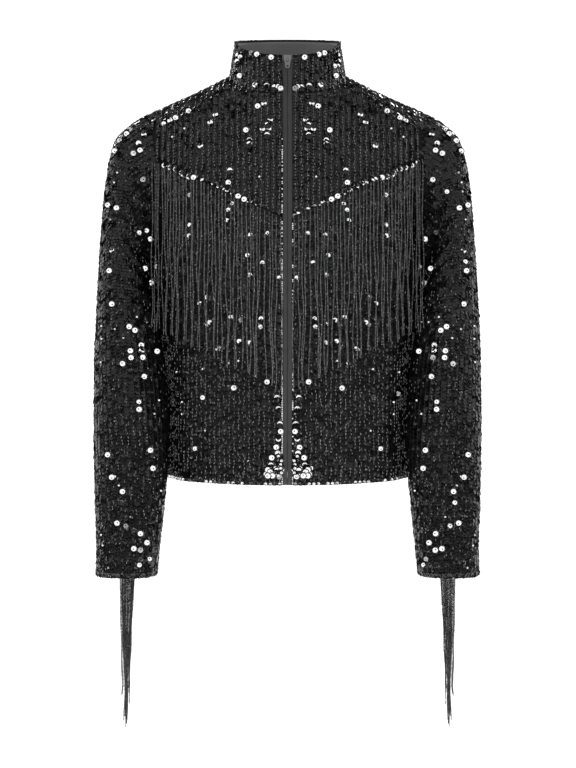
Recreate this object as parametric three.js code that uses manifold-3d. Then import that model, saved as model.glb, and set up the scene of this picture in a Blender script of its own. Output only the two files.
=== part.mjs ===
// A cropped bomber jacket with a stand collar, pointed front yokes, bead fringe and a centre-front zip,
// filled out as if worn, with nobody in it. Millimetres, +Z up, the front faces -Y, and +X is the wearer's left.
// The origin is the middle of the neck, level with the points where the shoulder seams meet the collar.
import * as THREE from "three";
import { mergeVertices } from "three/addons/utils/BufferGeometryUtils.js";
import Module from "manifold-3d";

const wasm = await Module();
wasm.setup();

const CLOTH = 1.8; // sequinned net on its backing
const FACING = 1.0; // smooth cloth inside the collar
const SEAM_INSET = 0.2; // each piece stops this far short of its seam line
const ZIP_HALF = 6.8; // from the centre line to the folded front edge

const NECK = { halfWidth: 76, front: -88, frontDrop: -31, back: 68, backRise: 6 };
const COLLAR_TOP = { halfWidth: 68.5, front: -75, frontZ: 19, back: 70, backZ: 58.5, sideZ: 47 };
const SHOULDER_TIP = new THREE.Vector3(184, 4, -49);
const SHOULDER_DIP = 1.5; // how far the shoulder line dips between collar and tip

// Half sections of the body from the hem up: height and depth on the centre line, then the place of the side seam
// or armhole, how far round the section turns by then, how square it is (2 is an ellipse) and how its level runs
// from the centre to the edge (1 is straight, 2 a bow).
const SECTION = ["centreZ", "centreY", "edgeX", "edgeY", "edgeZ", "turn", "square", "bow"];
const FRONT_ROWS = table(SECTION, [
  /* hem      */ [-534, -110, 159, 0, -529, 90, 2.6, 1.8],
  /* waist    */ [-430, -112, 161, 0, -427, 90, 2.55, 1.8],
  /* midriff  */ [-330, -117, 169, 0, -327, 90, 2.5, 1.8],
  /* armpit   */ [-262, -120, 175, 0, -252, 90, 2.4, 1.5],
  /* armhole  */ [-228, -120, 169, -42, -190, 74, 2.3, 1.2],
  /* yoke seam*/ [-191, -118, 171, -56, -115, 62, 2.2, 1],
]);
const BACK_ROWS = table(SECTION, [
  /* hem      */ [-531, 104, 159, 0, -529, 90, 2.6, 1.8],
  /* waist    */ [-428, 102, 161, 0, -427, 90, 2.5, 1.8],
  /* midriff  */ [-328, 108, 169, 0, -327, 90, 2.4, 1.8],
  /* armpit   */ [-252, 114, 175, 0, -252, 90, 2.3, 1.8],
  /* armhole  */ [-200, 115, 169, 40, -190, 74, 2.2, 1.8],
  /* blade    */ [-135, 110, 172, 52, -115, 62, 2.2, 1.8],
]);
const ARMPIT_ROW = 3;
const LAST_ROW = 5;

// Rings of the left sleeve below the armhole: its top or outer point, its underarm or inner point, and its depth.
const RING = ["outerX", "outerZ", "innerX", "innerZ", "centreY", "halfDepth"];
const SLEEVE_ROWS = table(RING, [
  /* cap          */ [203, -62, 179, -261, -3, 57],
  /* shoulder turn*/ [226, -85, 180, -272, -5, 60],
  /* upper arm    */ [238, -136, 177.5, -286, -12, 61],
  /* biceps       */ [244.5, -215, 173, -312, -24, 60],
  /* above elbow  */ [248.5, -300, 166.5, -350, -38, 58],
  /* elbow        */ [251.5, -385, 158.5, -405, -45, 55],
  /* below elbow  */ [251.5, -468, 154.5, -470, -54, 52],
  /* forearm      */ [250, -556, 161, -556, -57, 48],
  /* wrist        */ [248, -616, 167.5, -616, -57, 45],
  /* cuff         */ [249.5, -654, 171, -654, -55, 43],
]);

// Soft folds: place round the piece and along it as shares, half widths as shares, and depth (minus is in).
const FOLD = ["around", "along", "halfAround", "halfAlong", "depth", "slant"];
const FRONT_FOLDS = table(FOLD, [
  [0.78, 0.2, 0.09, 0.28, -4.5, 0.1],
  [0.6, 0.14, 0.07, 0.2, 2.5, 0.08],
]);
const BACK_FOLDS = table(FOLD, [
  [0.74, 0.25, 0.09, 0.28, -4.5, 0.08],
  [0.42, 0.18, 0.09, 0.24, 3.0, 0.05],
]);
const SLEEVE_FOLDS = table(FOLD, [
  [0.33, 0.5, 0.07, 0.05, -4.5, 0.25],
  [0.36, 0.62, 0.07, 0.05, -4, -0.2],
  [0.72, 0.55, 0.09, 0.05, -4.5, 0.2],
  [0.2, 0.82, 0.04, 0.16, -2.5, 0.05],
  [0.66, 0.84, 0.04, 0.14, -2.5, -0.05],
]);

const NECK_PARTS = 5; // columns along half of the front or back neckline
const SHOULDER_PARTS = 7; // columns along a shoulder seam
const NECK_SHARE = 0.42; // of a yoke's width, the part below the neckline
const COLUMNS = [
  ...steps(NECK_PARTS).map((s) => s * NECK_SHARE),
  ...steps(SHOULDER_PARTS).slice(1).map((s) => NECK_SHARE + s * (1 - NECK_SHARE)),
];
const LOWER_LEVELS = steps(6).map((s) => s * ARMPIT_ROW);
const ARMHOLE_LEVELS = steps(6).map((s) => ARMPIT_ROW + s * (LAST_ROW - ARMPIT_ROW));
const YOKE_LEVELS = steps(7);

function table(names, rows) {
  return rows.map((row) => Object.fromEntries(names.map((name, i) => [name, row[i]])));
}

function steps(parts) {
  return Array.from({ length: parts + 1 }, (_, i) => i / parts);
}

// A curve through values at 0, 1, 2 ... that never overshoots them.
function smooth(values, t) {
  const last = values.length - 1;
  const k = Math.min(Math.floor(t), last - 1);
  const rise = (i) => values[i + 1] - values[i];
  const slope = (i) => {
    if (i === 0) return rise(0);
    if (i === last) return rise(last - 1);
    const [a, b] = [rise(i - 1), rise(i)];
    return a * b > 0 ? (2 * a * b) / (a + b) : 0;
  };
  return hermite(values[k], slope(k), values[k + 1], slope(k + 1), t - k);
}

function hermite(p0, m0, p1, m1, s) {
  const [s2, s3] = [s * s, s * s * s];
  return p0 * (2 * s3 - 3 * s2 + 1) + m0 * (s3 - 2 * s2 + s) + p1 * (3 * s2 - 2 * s3) + m1 * (s3 - s2);
}

function smoothRow(rows, t) {
  const names = Object.keys(rows[0]);
  return Object.fromEntries(names.map((name) => [name, smooth(rows.map((row) => row[name]), t)]));
}

// The point at a share of the length of one half section, from the centre line (or the zip) to its edge.
function sectionPoint(row, share, startX) {
  const turn = THREE.MathUtils.degToRad(row.turn);
  const power = 2 / row.square;
  const [fullX, fullY] = [Math.sin(turn) ** power, 1 - Math.max(Math.cos(turn), 0) ** power];
  const points = steps(48).map((s) => {
    const x = startX + ((row.edgeX - startX) * Math.sin(s * turn) ** power) / fullX;
    const fallen = (1 - Math.max(Math.cos(s * turn), 0) ** power) / fullY;
    const y = row.centreY + (row.edgeY - row.centreY) * fallen;
    const z = row.centreZ + (row.edgeZ - row.centreZ) * ((x - startX) / (row.edgeX - startX)) ** row.bow;
    return new THREE.Vector3(x, y, z);
  });
  return alongPath(points, share);
}

function alongPath(points, share) {
  const lengths = [0];
  for (let i = 1; i < points.length; i++) {
    lengths.push(lengths[i - 1] + points[i].distanceTo(points[i - 1]));
  }
  const wanted = share * lengths.at(-1);
  let i = 1;
  while (i < points.length - 1 && lengths[i] < wanted) i++;
  return points[i - 1].clone().lerp(points[i], (wanted - lengths[i - 1]) / (lengths[i] - lengths[i - 1]));
}

// The line that a yoke or the back ends on: half of the neckline, then the shoulder seam.
function topPoint(side, share, startX) {
  if (share > NECK_SHARE) {
    const s = (share - NECK_SHARE) / (1 - NECK_SHARE);
    const p = new THREE.Vector3(NECK.halfWidth, 0, 0).lerp(SHOULDER_TIP, s);
    return p.setZ(p.z - SHOULDER_DIP * Math.sin(s * Math.PI));
  }
  return neckPoint(side, (share / NECK_SHARE) * 90, startX);
}

function neckPoint(side, degrees, startX) {
  const b = THREE.MathUtils.degToRad(degrees);
  const [depth, rise] = side < 0 ? [NECK.front, NECK.frontDrop] : [NECK.back, NECK.backRise];
  const x = startX + (NECK.halfWidth - startX) * Math.sin(b);
  return new THREE.Vector3(x, depth * Math.cos(b), rise * Math.cos(b));
}

// Above the last section the cloth leans back over the shoulder to the neckline and the shoulder seam.
function upperPoint(rows, side, share, level, startX) {
  const from = sectionPoint(rows.at(-1), share, startX);
  const below = sectionPoint(smoothRow(rows, LAST_ROW - 0.1), share, startX);
  const to = topPoint(side, share, startX);
  const reach = from.distanceTo(to);
  const leave = from.clone().sub(below).setLength(reach * 0.9);
  const lean = THREE.MathUtils.degToRad(Math.min(1, share / NECK_SHARE) * 62 + 28);
  const arrive = new THREE.Vector3(0, -side * Math.sin(lean), Math.cos(lean)).setLength(reach * 0.95);
  return new THREE.Vector3(
    hermite(from.x, leave.x, to.x, arrive.x, level),
    hermite(from.y, leave.y, to.y, arrive.y, level),
    hermite(from.z, leave.z, to.z, arrive.z, level),
  );
}

function foldDepth(folds, around, along) {
  return folds.reduce((sum, fold) => {
    const a = (around - fold.around - fold.slant * (along - fold.along)) / fold.halfAround;
    const b = (along - fold.along) / fold.halfAlong;
    return sum + fold.depth * Math.exp(-a * a - b * b);
  }, 0);
}

// Unit normals of a grid of points, facing away from the inside.
function gridNormals(grid, inside, closed) {
  const [rows, columns] = [grid.length, grid[0].length];
  return grid.map((row, i) =>
    row.map((point, j) => {
      const next = closed ? row[(j + 1) % columns] : row[Math.min(j + 1, columns - 1)];
      const before = closed ? row[(j + columns - 1) % columns] : row[Math.max(j - 1, 0)];
      const across = next.clone().sub(before);
      const up = grid[Math.min(i + 1, rows - 1)][j].clone().sub(grid[Math.max(i - 1, 0)][j]);
      const normal = across.cross(up).normalize();
      return normal.dot(point.clone().sub(inside(point))) < 0 ? normal.negate() : normal;
    }),
  );
}

function moveOut(grid, normals, depth) {
  const depthOf = typeof depth === "function" ? depth : () => depth;
  return grid.map((row, i) => row.map((p, j) => p.clone().addScaledVector(normals[i][j], depthOf(i, j))));
}

// Pulls the border of a grid in from its seam lines, square to each line and to the normal there.
function insetBorder(grid, normals, closed, inset = SEAM_INSET) {
  const moved = grid.map((row) => row.map((p) => p.clone()));
  const pull = (i, j, towards, along) => {
    const square = normals[i][j].clone().cross(along).normalize();
    const sign = Math.sign(square.dot(towards.clone().sub(grid[i][j])));
    moved[i][j].addScaledVector(square, sign * inset);
  };
  const [last, end] = [grid.length - 1, grid[0].length - 1];
  const span = (list, k, around) => {
    const next = around ? list[(k + 1) % list.length] : list[Math.min(k + 1, list.length - 1)];
    return next.clone().sub(around ? list.at(k - 1) : list[Math.max(k - 1, 0)]);
  };
  grid[0].forEach((_, j) => {
    pull(0, j, grid[1][j], span(grid[0], j, closed));
    pull(last, j, grid[last - 1][j], span(grid[last], j, closed));
  });
  if (!closed)
    for (const [edge, beside] of [[0, 1], [end, end - 1]]) {
      const line = grid.map((row) => row[edge]);
      grid.forEach((row, i) => pull(i, edge, row[beside], span(line, i, false)));
    }
  return moved;
}

// A closed wall between two matching grids of points.
function wall(outer, inner, closed = false) {
  const [rows, columns] = [outer.length, outer[0].length];
  const points = [...outer.flat(), ...inner.flat()];
  const at = (layer, i, j) => layer * rows * columns + i * columns + (j % columns);
  const faces = [];
  const quad = (a, b, c, d) => {
    const shorter = points[a].distanceTo(points[c]) <= points[b].distanceTo(points[d]);
    faces.push(...(shorter ? [a, b, c, a, c, d] : [a, b, d, b, c, d]));
  };
  const spans = closed ? columns : columns - 1;
  for (let i = 0; i < rows - 1; i++)
    for (let j = 0; j < spans; j++) {
      quad(at(0, i, j), at(0, i, j + 1), at(0, i + 1, j + 1), at(0, i + 1, j));
      quad(at(1, i, j), at(1, i + 1, j), at(1, i + 1, j + 1), at(1, i, j + 1));
    }
  for (let j = 0; j < spans; j++) {
    quad(at(0, 0, j + 1), at(0, 0, j), at(1, 0, j), at(1, 0, j + 1));
    quad(at(0, rows - 1, j), at(0, rows - 1, j + 1), at(1, rows - 1, j + 1), at(1, rows - 1, j));
  }
  const end = columns - 1;
  if (!closed)
    for (let i = 0; i < rows - 1; i++) {
      quad(at(0, i, 0), at(0, i + 1, 0), at(1, i + 1, 0), at(1, i, 0));
      quad(at(0, i + 1, end), at(0, i, end), at(1, i, end), at(1, i + 1, end));
    }
  const places = points.flatMap((p) => p.toArray());
  const geometry = new THREE.BufferGeometry();
  geometry.setAttribute("position", new THREE.Float32BufferAttribute(places, 3));
  geometry.setIndex(faces);
  return facingOut(geometry);
}

function facingOut(geometry) {
  const solid = toSolid(geometry);
  if (solid.volume() >= 0) return geometry;
  const index = geometry.index.array;
  for (let i = 0; i < index.length; i += 3) [index[i + 1], index[i + 2]] = [index[i + 2], index[i + 1]];
  return geometry;
}

function mirrored(geometry) {
  return facingOut(geometry.clone().applyMatrix4(new THREE.Matrix4().makeScale(-1, 1, 1)));
}

function toSolid(geometry) {
  const plain = geometry.clone();
  plain.deleteAttribute("normal");
  plain.deleteAttribute("uv");
  const merged = mergeVertices(plain);
  return new wasm.Manifold(
    new wasm.Mesh({
      numProp: 3,
      vertProperties: new Float32Array(merged.attributes.position.array),
      triVerts: new Uint32Array(merged.index.array),
    }),
  );
}

function fromSolid(solid) {
  const mesh = solid.getMesh();
  const geometry = new THREE.BufferGeometry();
  geometry.setAttribute("position", new THREE.BufferAttribute(new Float32Array(mesh.vertProperties), 3));
  geometry.setIndex(new THREE.BufferAttribute(new Uint32Array(mesh.triVerts), 1));
  return geometry;
}

function joined(geometries) {
  return fromSolid(geometries.map(toSolid).reduce((sum, solid) => sum.add(solid)));
}

const insideBody = () => new THREE.Vector3(0, 0, -250);

// A panel of the body: its grid of points moved by its folds, and the normals there.
function bodyPanel(base, folds, share) {
  const relief = (i, j) => foldDepth(folds, share(i, j).around, share(i, j).along);
  const outer = moveOut(base, gridNormals(base, insideBody), relief);
  return { outer, normals: gridNormals(outer, insideBody) };
}

function clothWall({ outer, normals, closed = false }) {
  const cut = insetBorder(outer, normals, closed);
  return wall(cut, moveOut(cut, normals, -CLOTH), closed);
}

// Panels that meet at a seam share one normal there, so that their thick edges lie side by side.
function matchSeams(panels) {
  const cells = [];
  for (const { outer, normals, closed } of panels)
    outer.forEach((row, i) =>
      row.forEach((point, j) => {
        const onEnd = i === 0 || i === outer.length - 1;
        const onSide = !closed && j % (row.length - 1) === 0;
        if (onEnd || onSide) cells.push({ point, normal: normals[i][j], own: normals[i][j].clone() });
      }),
    );
  for (const cell of cells) {
    const near = cells.filter((other) => other.point.distanceTo(cell.point) < 0.5);
    cell.normal.copy(near.reduce((sum, other) => sum.add(other.own), new THREE.Vector3()).normalize());
  }
}

const FRONT_LEVELS = [...LOWER_LEVELS, ...ARMHOLE_LEVELS.slice(1)];

function frontGrid(columns = COLUMNS) {
  return FRONT_LEVELS.map((t) => columns.map((u) => sectionPoint(smoothRow(FRONT_ROWS, t), u, ZIP_HALF)));
}

function frontPanel() {
  const share = (i, j) => ({ around: COLUMNS[j], along: FRONT_LEVELS[i] / LAST_ROW });
  return bodyPanel(frontGrid(), FRONT_FOLDS, share);
}

function frontYoke() {
  const grid = YOKE_LEVELS.map((v) => COLUMNS.map((u) => upperPoint(FRONT_ROWS, -1, u, v, ZIP_HALF)));
  return bodyPanel(grid, [], () => ({ around: 0, along: 0 }));
}

function halfBack() {
  const grid = [
    ...FRONT_LEVELS.map((t) => COLUMNS.map((u) => sectionPoint(smoothRow(BACK_ROWS, t), u, 0))),
    ...YOKE_LEVELS.slice(1).map((v) => COLUMNS.map((u) => upperPoint(BACK_ROWS, 1, u, v, 0))),
  ];
  const share = (i, j) => ({ around: COLUMNS[j], along: Math.min(1, i / FRONT_LEVELS.length) });
  const panel = bodyPanel(grid, BACK_FOLDS, share);
  for (const row of panel.normals) row[0].setX(0).normalize();
  return panel;
}

// The other half of a panel that lies across the centre line.
function bothHalves({ outer, normals }) {
  const flip = (p) => p.clone().multiply(new THREE.Vector3(-1, 1, 1));
  const whole = (grid) => grid.map((row) => [...row.slice(1).reverse().map(flip), ...row]);
  return { outer: whole(outer), normals: whole(normals) };
}

// The armhole from the shoulder tip down its front to the armpit and up its back.
function armhole() {
  const edge = (rows, side, startX) => [
    ...YOKE_LEVELS.map((v) => upperPoint(rows, side, 1, v, startX)).reverse(),
    ...ARMHOLE_LEVELS.map((t) => sectionPoint(smoothRow(rows, t), 1, startX)).reverse().slice(1),
  ];
  const front = edge(FRONT_ROWS, -1, ZIP_HALF);
  const back = edge(BACK_ROWS, 1, 0);
  return [...front, ...back.slice(1, -1).reverse()];
}

const SLEEVE_SQUARE = 2.25;

function sleeveRingPoint(row, turn) {
  const round = (v) => Math.sign(v) * Math.abs(v) ** (2 / SLEEVE_SQUARE);
  const [c, s] = [round(Math.cos(turn)), round(Math.sin(turn))];
  return new THREE.Vector3(
    (row.outerX + row.innerX) / 2 + (c * (row.outerX - row.innerX)) / 2,
    row.centreY - s * row.halfDepth,
    (row.outerZ + row.innerZ) / 2 + (c * (row.outerZ - row.innerZ)) / 2,
  );
}

const SLEEVE_LEVELS = [0, 0.35, 0.7, 1, 1.5, 2, 2.5, 3, 3.5, 4, 4.6, 5.2, 5.8, 6.4, 7, 7.6, 8.3, 9.1, 10];

function sleeveGrid() {
  const start = armhole();
  const lines = start.map((first, j) => {
    const turn = (j / start.length) * 2 * Math.PI;
    return [first, ...SLEEVE_ROWS.map((row) => sleeveRingPoint(row, turn))];
  });
  const pointOn = (line, t) => {
    const along = (axis) => smooth(line.map((p) => p[axis]), t);
    return new THREE.Vector3(along("x"), along("y"), along("z"));
  };
  const base = SLEEVE_LEVELS.map((t) => lines.map((line) => pointOn(line, t)));
  const insideSleeve = (p) => {
    const away = (row) => Math.abs(midZ(row) - p.z);
    const row = SLEEVE_ROWS.reduce((best, other) => (away(other) < away(best) ? other : best));
    return new THREE.Vector3((row.outerX + row.innerX) / 2, row.centreY, midZ(row));
  };
  const relief = (i, j) => foldDepth(SLEEVE_FOLDS, j / start.length, SLEEVE_LEVELS[i] / SLEEVE_LEVELS.at(-1));
  const outer = moveOut(base, gridNormals(base, insideSleeve, true), relief);
  return { outer, normals: gridNormals(outer, insideSleeve, true), closed: true };
}

function midZ(row) {
  return (row.outerZ + row.innerZ) / 2;
}

// One line round the neck, from the zip on the left past the centre back to the zip on the right.
const COLLAR_TURNS = steps(2 * NECK_PARTS).map((s) => s * 180);

function collarPoint(degrees, height) {
  const side = degrees > 90 ? 1 : -1;
  const b = side < 0 ? degrees : 180 - degrees;
  const startX = side < 0 ? ZIP_HALF : 0;
  const foot = neckPoint(side, b, startX);
  const c = Math.cos(THREE.MathUtils.degToRad(b));
  const [depth, z] = side < 0 ? [COLLAR_TOP.front, COLLAR_TOP.frontZ] : [COLLAR_TOP.back, COLLAR_TOP.backZ];
  const head = new THREE.Vector3(
    startX + (COLLAR_TOP.halfWidth - startX) * Math.sin(THREE.MathUtils.degToRad(b)),
    depth * c,
    COLLAR_TOP.sideZ + (z - COLLAR_TOP.sideZ) * c,
  );
  return foot.lerp(head, height);
}

function collarGrid(heights) {
  const half = heights.map((h) => COLLAR_TURNS.map((b) => collarPoint(b, h)));
  const flip = (p) => p.clone().multiply(new THREE.Vector3(-1, 1, 1));
  return half.map((row) => [...row, ...row.slice(0, -1).reverse().map(flip)]);
}

const insideNeck = (p) => new THREE.Vector3(0, 0, p.z);

function collar() {
  const grid = collarGrid(steps(4));
  const normals = gridNormals(grid, insideNeck);
  const cut = insetBorder(grid, normals, false, 0.3);
  return wall(cut, moveOut(cut, normals, -CLOTH));
}

function collarFacing() {
  const grid = collarGrid([0.04, 0.35, 0.66, 0.97]);
  const normals = gridNormals(grid, insideNeck);
  const cut = insetBorder(grid, normals, false, 0.6);
  const face = moveOut(cut, normals, -CLOTH - 0.3);
  return wall(face, moveOut(face, normals, -FACING));
}

// The centre-front line from the hem to the top of the collar, on the outside of the cloth.
function centreLine() {
  return [
    ...FRONT_LEVELS.map((t) => sectionPoint(smoothRow(FRONT_ROWS, t), 0, 0)),
    ...YOKE_LEVELS.slice(1).map((v) => upperPoint(FRONT_ROWS, -1, 0, v, 0)),
    ...steps(3).slice(1).map((h) => collarPoint(0, h)),
  ].map((p) => p.setX(0));
}

function sideways(points) {
  return points.map((p, i) => {
    const along = points[Math.min(i + 1, points.length - 1)].clone().sub(points[Math.max(i - 1, 0)]);
    return new THREE.Vector3(0, -along.z, along.y).normalize();
  });
}

// A flat strip that follows part of the centre line, between two distances from it and below the cloth's face.
function zipStrip(line, outwards, fromX, toX, sunk, thickness) {
  const layer = (depth) =>
    line.map((p, i) => [fromX, toX].map((x) => p.clone().addScaledVector(outwards[i], -depth).setX(x)));
  return wall(layer(sunk), layer(sunk + thickness));
}

function trimmedLine(points, cutStart, cutEnd) {
  const total = points.slice(1).reduce((sum, p, i) => sum + p.distanceTo(points[i]), 0);
  const first = alongPath(points, cutStart / total);
  const last = alongPath(points, 1 - cutEnd / total);
  return [first, ...points.filter((p) => p.z > first.z + 2 && p.z < last.z - 2), last];
}

const ZIP = {
  tapeSunk: 0.5,
  tapeThickness: 1.0,
  chainHalf: 2.6,
  chainThickness: 1.5,
  tapeTopCut: 3.4,
  chainTopCut: 15.5,
  boxHeight: 9,
};

function zipTape(line) {
  const run = trimmedLine(line, 0.3, ZIP.tapeTopCut);
  return zipStrip(run, sideways(run), 0.15, ZIP_HALF - 0.3, ZIP.tapeSunk, ZIP.tapeThickness);
}

function zipChain(line) {
  const run = trimmedLine(line, ZIP.boxHeight + 0.6, ZIP.chainTopCut);
  const sunk = ZIP.tapeSunk + ZIP.tapeThickness + 0.3;
  return zipStrip(run, sideways(run), -ZIP.chainHalf, ZIP.chainHalf, sunk, ZIP.chainThickness);
}

// The two-part end of an open zip: a small moulded box in front of the tapes and behind them.
function zipBox(line) {
  const run = trimmedLine(line, 0.4, 0).slice(0, 2);
  const top = run[0].clone().lerp(run[1], ZIP.boxHeight / run[0].distanceTo(run[1]));
  const part = [run[0], top];
  const outwards = sideways(part);
  return zipStrip(part, outwards, -3.4, 3.4, ZIP.tapeSunk + ZIP.tapeThickness + 0.3, 2.0);
}

// The slider in its own frame: Z up along the zip, -Y out of the cloth, its top level with the collar's.
const SLIDER = { height: 12.4, topHalf: 4.8, footHalf: 3.4, plate: 1.5, gap: 0.3, back: 1.2, neck: 2.6 };
const BRIDGE = { half: 0.8, thick: 0.9, span: 6.4, rise: 2.5, centre: -6.2 };
const TAB = { half: 3.2, length: 12.6, thick: 1.0, bar: 0.5, eyeHalf: 1.5, eyeLength: 4.2, holeRadius: 1.4 };

function plateOutline(half, footHalf, height) {
  const shape = new THREE.Shape();
  shape.moveTo(-half, 0);
  shape.lineTo(half, 0);
  shape.lineTo(half, -height * 0.35);
  shape.lineTo(footHalf, -height);
  shape.lineTo(-footHalf, -height);
  shape.lineTo(-half, -height * 0.35);
  return shape;
}

// A flat outline drawn in X and Z, from y0 forward to y0 minus its thickness.
function upright(shape, thickness, y0) {
  const geometry = new THREE.ExtrudeGeometry(shape, { depth: thickness, bevelEnabled: false, curveSegments: 8 });
  return geometry.rotateX(Math.PI / 2).translate(0, y0, 0);
}

function block(width, depth, height, x, y, z) {
  return new THREE.BoxGeometry(width, depth, height).translate(x, y, z);
}

function slider() {
  const faceY = ZIP.tapeSunk - SLIDER.gap;
  const backY = ZIP.tapeSunk + ZIP.tapeThickness + SLIDER.gap;
  const outline = plateOutline(SLIDER.topHalf, SLIDER.footHalf, SLIDER.height);
  const front = upright(outline, SLIDER.plate, faceY);
  const back = upright(outline, SLIDER.back, backY + SLIDER.back);
  const neckDepth = backY - faceY + 0.4;
  const neck = block(3.2, neckDepth, SLIDER.neck, 0, (backY + faceY) / 2, -SLIDER.neck / 2);
  const plateFace = faceY - SLIDER.plate;
  const crownY = plateFace - BRIDGE.rise + BRIDGE.thick / 2;
  const crown = block(2 * BRIDGE.half, BRIDGE.thick, BRIDGE.span, 0, crownY, BRIDGE.centre);
  const legY = plateFace - BRIDGE.rise / 2 + 0.1;
  const legs = [-1, 1].map((end) => {
    const legZ = BRIDGE.centre + (end * (BRIDGE.span - 1)) / 2;
    return block(2 * BRIDGE.half, BRIDGE.rise + 0.2, 1, 0, legY, legZ);
  });
  return joined([front, back, neck, crown, ...legs]);
}

// The pull tab hangs from a bar that passes under the slider's bridge. Its frame's origin is that bar.
function pullTab() {
  const plate = new THREE.Shape();
  const foot = -TAB.length + TAB.half;
  plate.moveTo(-TAB.half + 0.5, TAB.bar);
  plate.lineTo(TAB.half - 0.5, TAB.bar);
  plate.lineTo(TAB.half - 0.3, -TAB.eyeLength - 1);
  plate.lineTo(TAB.half, foot);
  plate.absarc(0, foot, TAB.half, 0, -Math.PI, true);
  plate.lineTo(-TAB.half + 0.3, -TAB.eyeLength - 1);
  const eye = new THREE.Path();
  eye.moveTo(-TAB.eyeHalf, -TAB.bar);
  eye.lineTo(-TAB.eyeHalf, -TAB.bar - TAB.eyeLength);
  eye.lineTo(TAB.eyeHalf, -TAB.bar - TAB.eyeLength);
  eye.lineTo(TAB.eyeHalf, -TAB.bar);
  const hole = new THREE.Path();
  hole.absarc(0, foot, TAB.holeRadius, 0, 2 * Math.PI, false);
  plate.holes.push(eye, hole);
  return upright(plate, TAB.thick, TAB.thick / 2);
}

// Bead fringe: a narrow tape that lies on the front panel just under the yoke, and strands that hang from it.
const FRINGE = {
  strands: 38, // a side
  length: 222,
  radius: 1.0,
  standOff: 2.4, // from the cloth's face to a strand's middle
  lie: 0.4, // from the cloth's face to the tape
  tape: 1.2,
  tapeHeight: 5,
  from: 0.015, // the tape's ends, as shares of the yoke seam
  to: 0.975,
};
const SWAY = 2.2; // the most that a strand's foot stands off to one side

function frontSurface(columns) {
  const grid = frontGrid(columns);
  const relief = (i, j) => foldDepth(FRONT_FOLDS, columns[j], FRONT_LEVELS[i] / LAST_ROW);
  return moveOut(grid, gridNormals(grid, insideBody), relief);
}

// How far forward a grid of points lies at a place; infinitely far back where it doesn't reach.
function depthAt(grid, x, z) {
  let found = Infinity;
  for (let i = 0; i < grid.length - 1; i++)
    for (let j = 0; j < grid[0].length - 1; j++) {
      const [a, b, c, d] = [grid[i][j], grid[i][j + 1], grid[i + 1][j], grid[i + 1][j + 1]];
      const s = (x - a.x) / (b.x - a.x);
      if (!(s >= 0 && s <= 1)) continue;
      const [low, high] = [a.z + (b.z - a.z) * s, c.z + (d.z - c.z) * s];
      const t = (z - low) / (high - low);
      if (!(t >= 0 && t <= 1)) continue;
      const y = (a.y + (b.y - a.y) * s) * (1 - t) + (c.y + (d.y - c.y) * s) * t;
      found = Math.min(found, y);
    }
  return found;
}

// Each strand's foot stands off by its own share of the sway.
function sway(number) {
  return SWAY * Math.sin(number * 2.4) * Math.cos(number * 0.7);
}

function strand(route, radius) {
  const path = new THREE.CatmullRomCurve3(route, false, "catmullrom", 0);
  const corners = [90, 210, 330].map(THREE.MathUtils.degToRad);
  const outline = corners.map((a) => new THREE.Vector2(radius * Math.cos(a), radius * Math.sin(a)));
  const section = new THREE.Shape(outline);
  const along = { steps: route.length - 1, extrudePath: path, bevelEnabled: false };
  return new THREE.ExtrudeGeometry(section, along);
}

function fringe(sleeveSurface) {
  const columns = steps(24);
  const surface = frontSurface(columns);
  const normals = gridNormals(surface, insideBody);
  const share = (s) => FRINGE.from - 0.006 + (FRINGE.to - FRINGE.from + 0.012) * s;
  const between = (row) => steps(24).map((s) => alongPath(row, share(s)));
  const seam = between(surface.at(-1));
  const below = between(surface.at(-2));
  const down = seam.map((p, j) => below[j].clone().sub(p).normalize());
  const tapeRow = (drop) => seam.map((p, j) => p.clone().addScaledVector(down[j], drop));
  const rows = [tapeRow(0.4), tapeRow(FRINGE.tapeHeight)];
  const away = normals.at(-1);
  const lift = (height) => rows.map((row) => row.map((p, j) => p.clone().addScaledVector(away[j], height)));
  const tape = wall(lift(FRINGE.lie + FRINGE.tape), lift(FRINGE.lie));
  const rootRows = lift(FRINGE.lie + 0.55 + FRINGE.radius * 0.5);
  const strands = steps(FRINGE.strands - 1).map((s, number) => {
    const [high, low] = rootRows.map((row) => alongPath(row, 0.008 + 0.984 * s));
    const root = high.lerp(low, 0.3);
    let forward = root.y;
    const heights = steps(7).map((h) => h * FRINGE.length);
    const route = heights.map((fall, i) => {
      const x = root.x + sway(number) * (fall / FRINGE.length) ** 1.5;
      const z = root.z - fall;
      const clothAt = (at) => Math.min(depthAt(surface, at, z), depthAt(sleeveSurface, at, z));
      const under = [x - 3, x, x + 3].map(clothAt);
      const lying = i === 0 ? Infinity : Math.min(...under) - FRINGE.standOff;
      forward = Math.min(forward, lying);
      return new THREE.Vector3(x, forward, z);
    });
    return strand(route, FRINGE.radius);
  });
  return joined([tape, ...strands]);
}

// A short length of the same trimming sewn inside the back of each cuff, its strands listed from the inner side.
const TASSEL = { middle: 212, pitch: 3.0, top: -642, foot: -651, gather: 0.25, layerGap: 2.7, radius: 0.9 };
const TASSEL_FRONT = [98, 132, 216, 178, 214, 207, 183];
const TASSEL_BACK = [86, 156, 198, 211, 194, 166];

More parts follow.
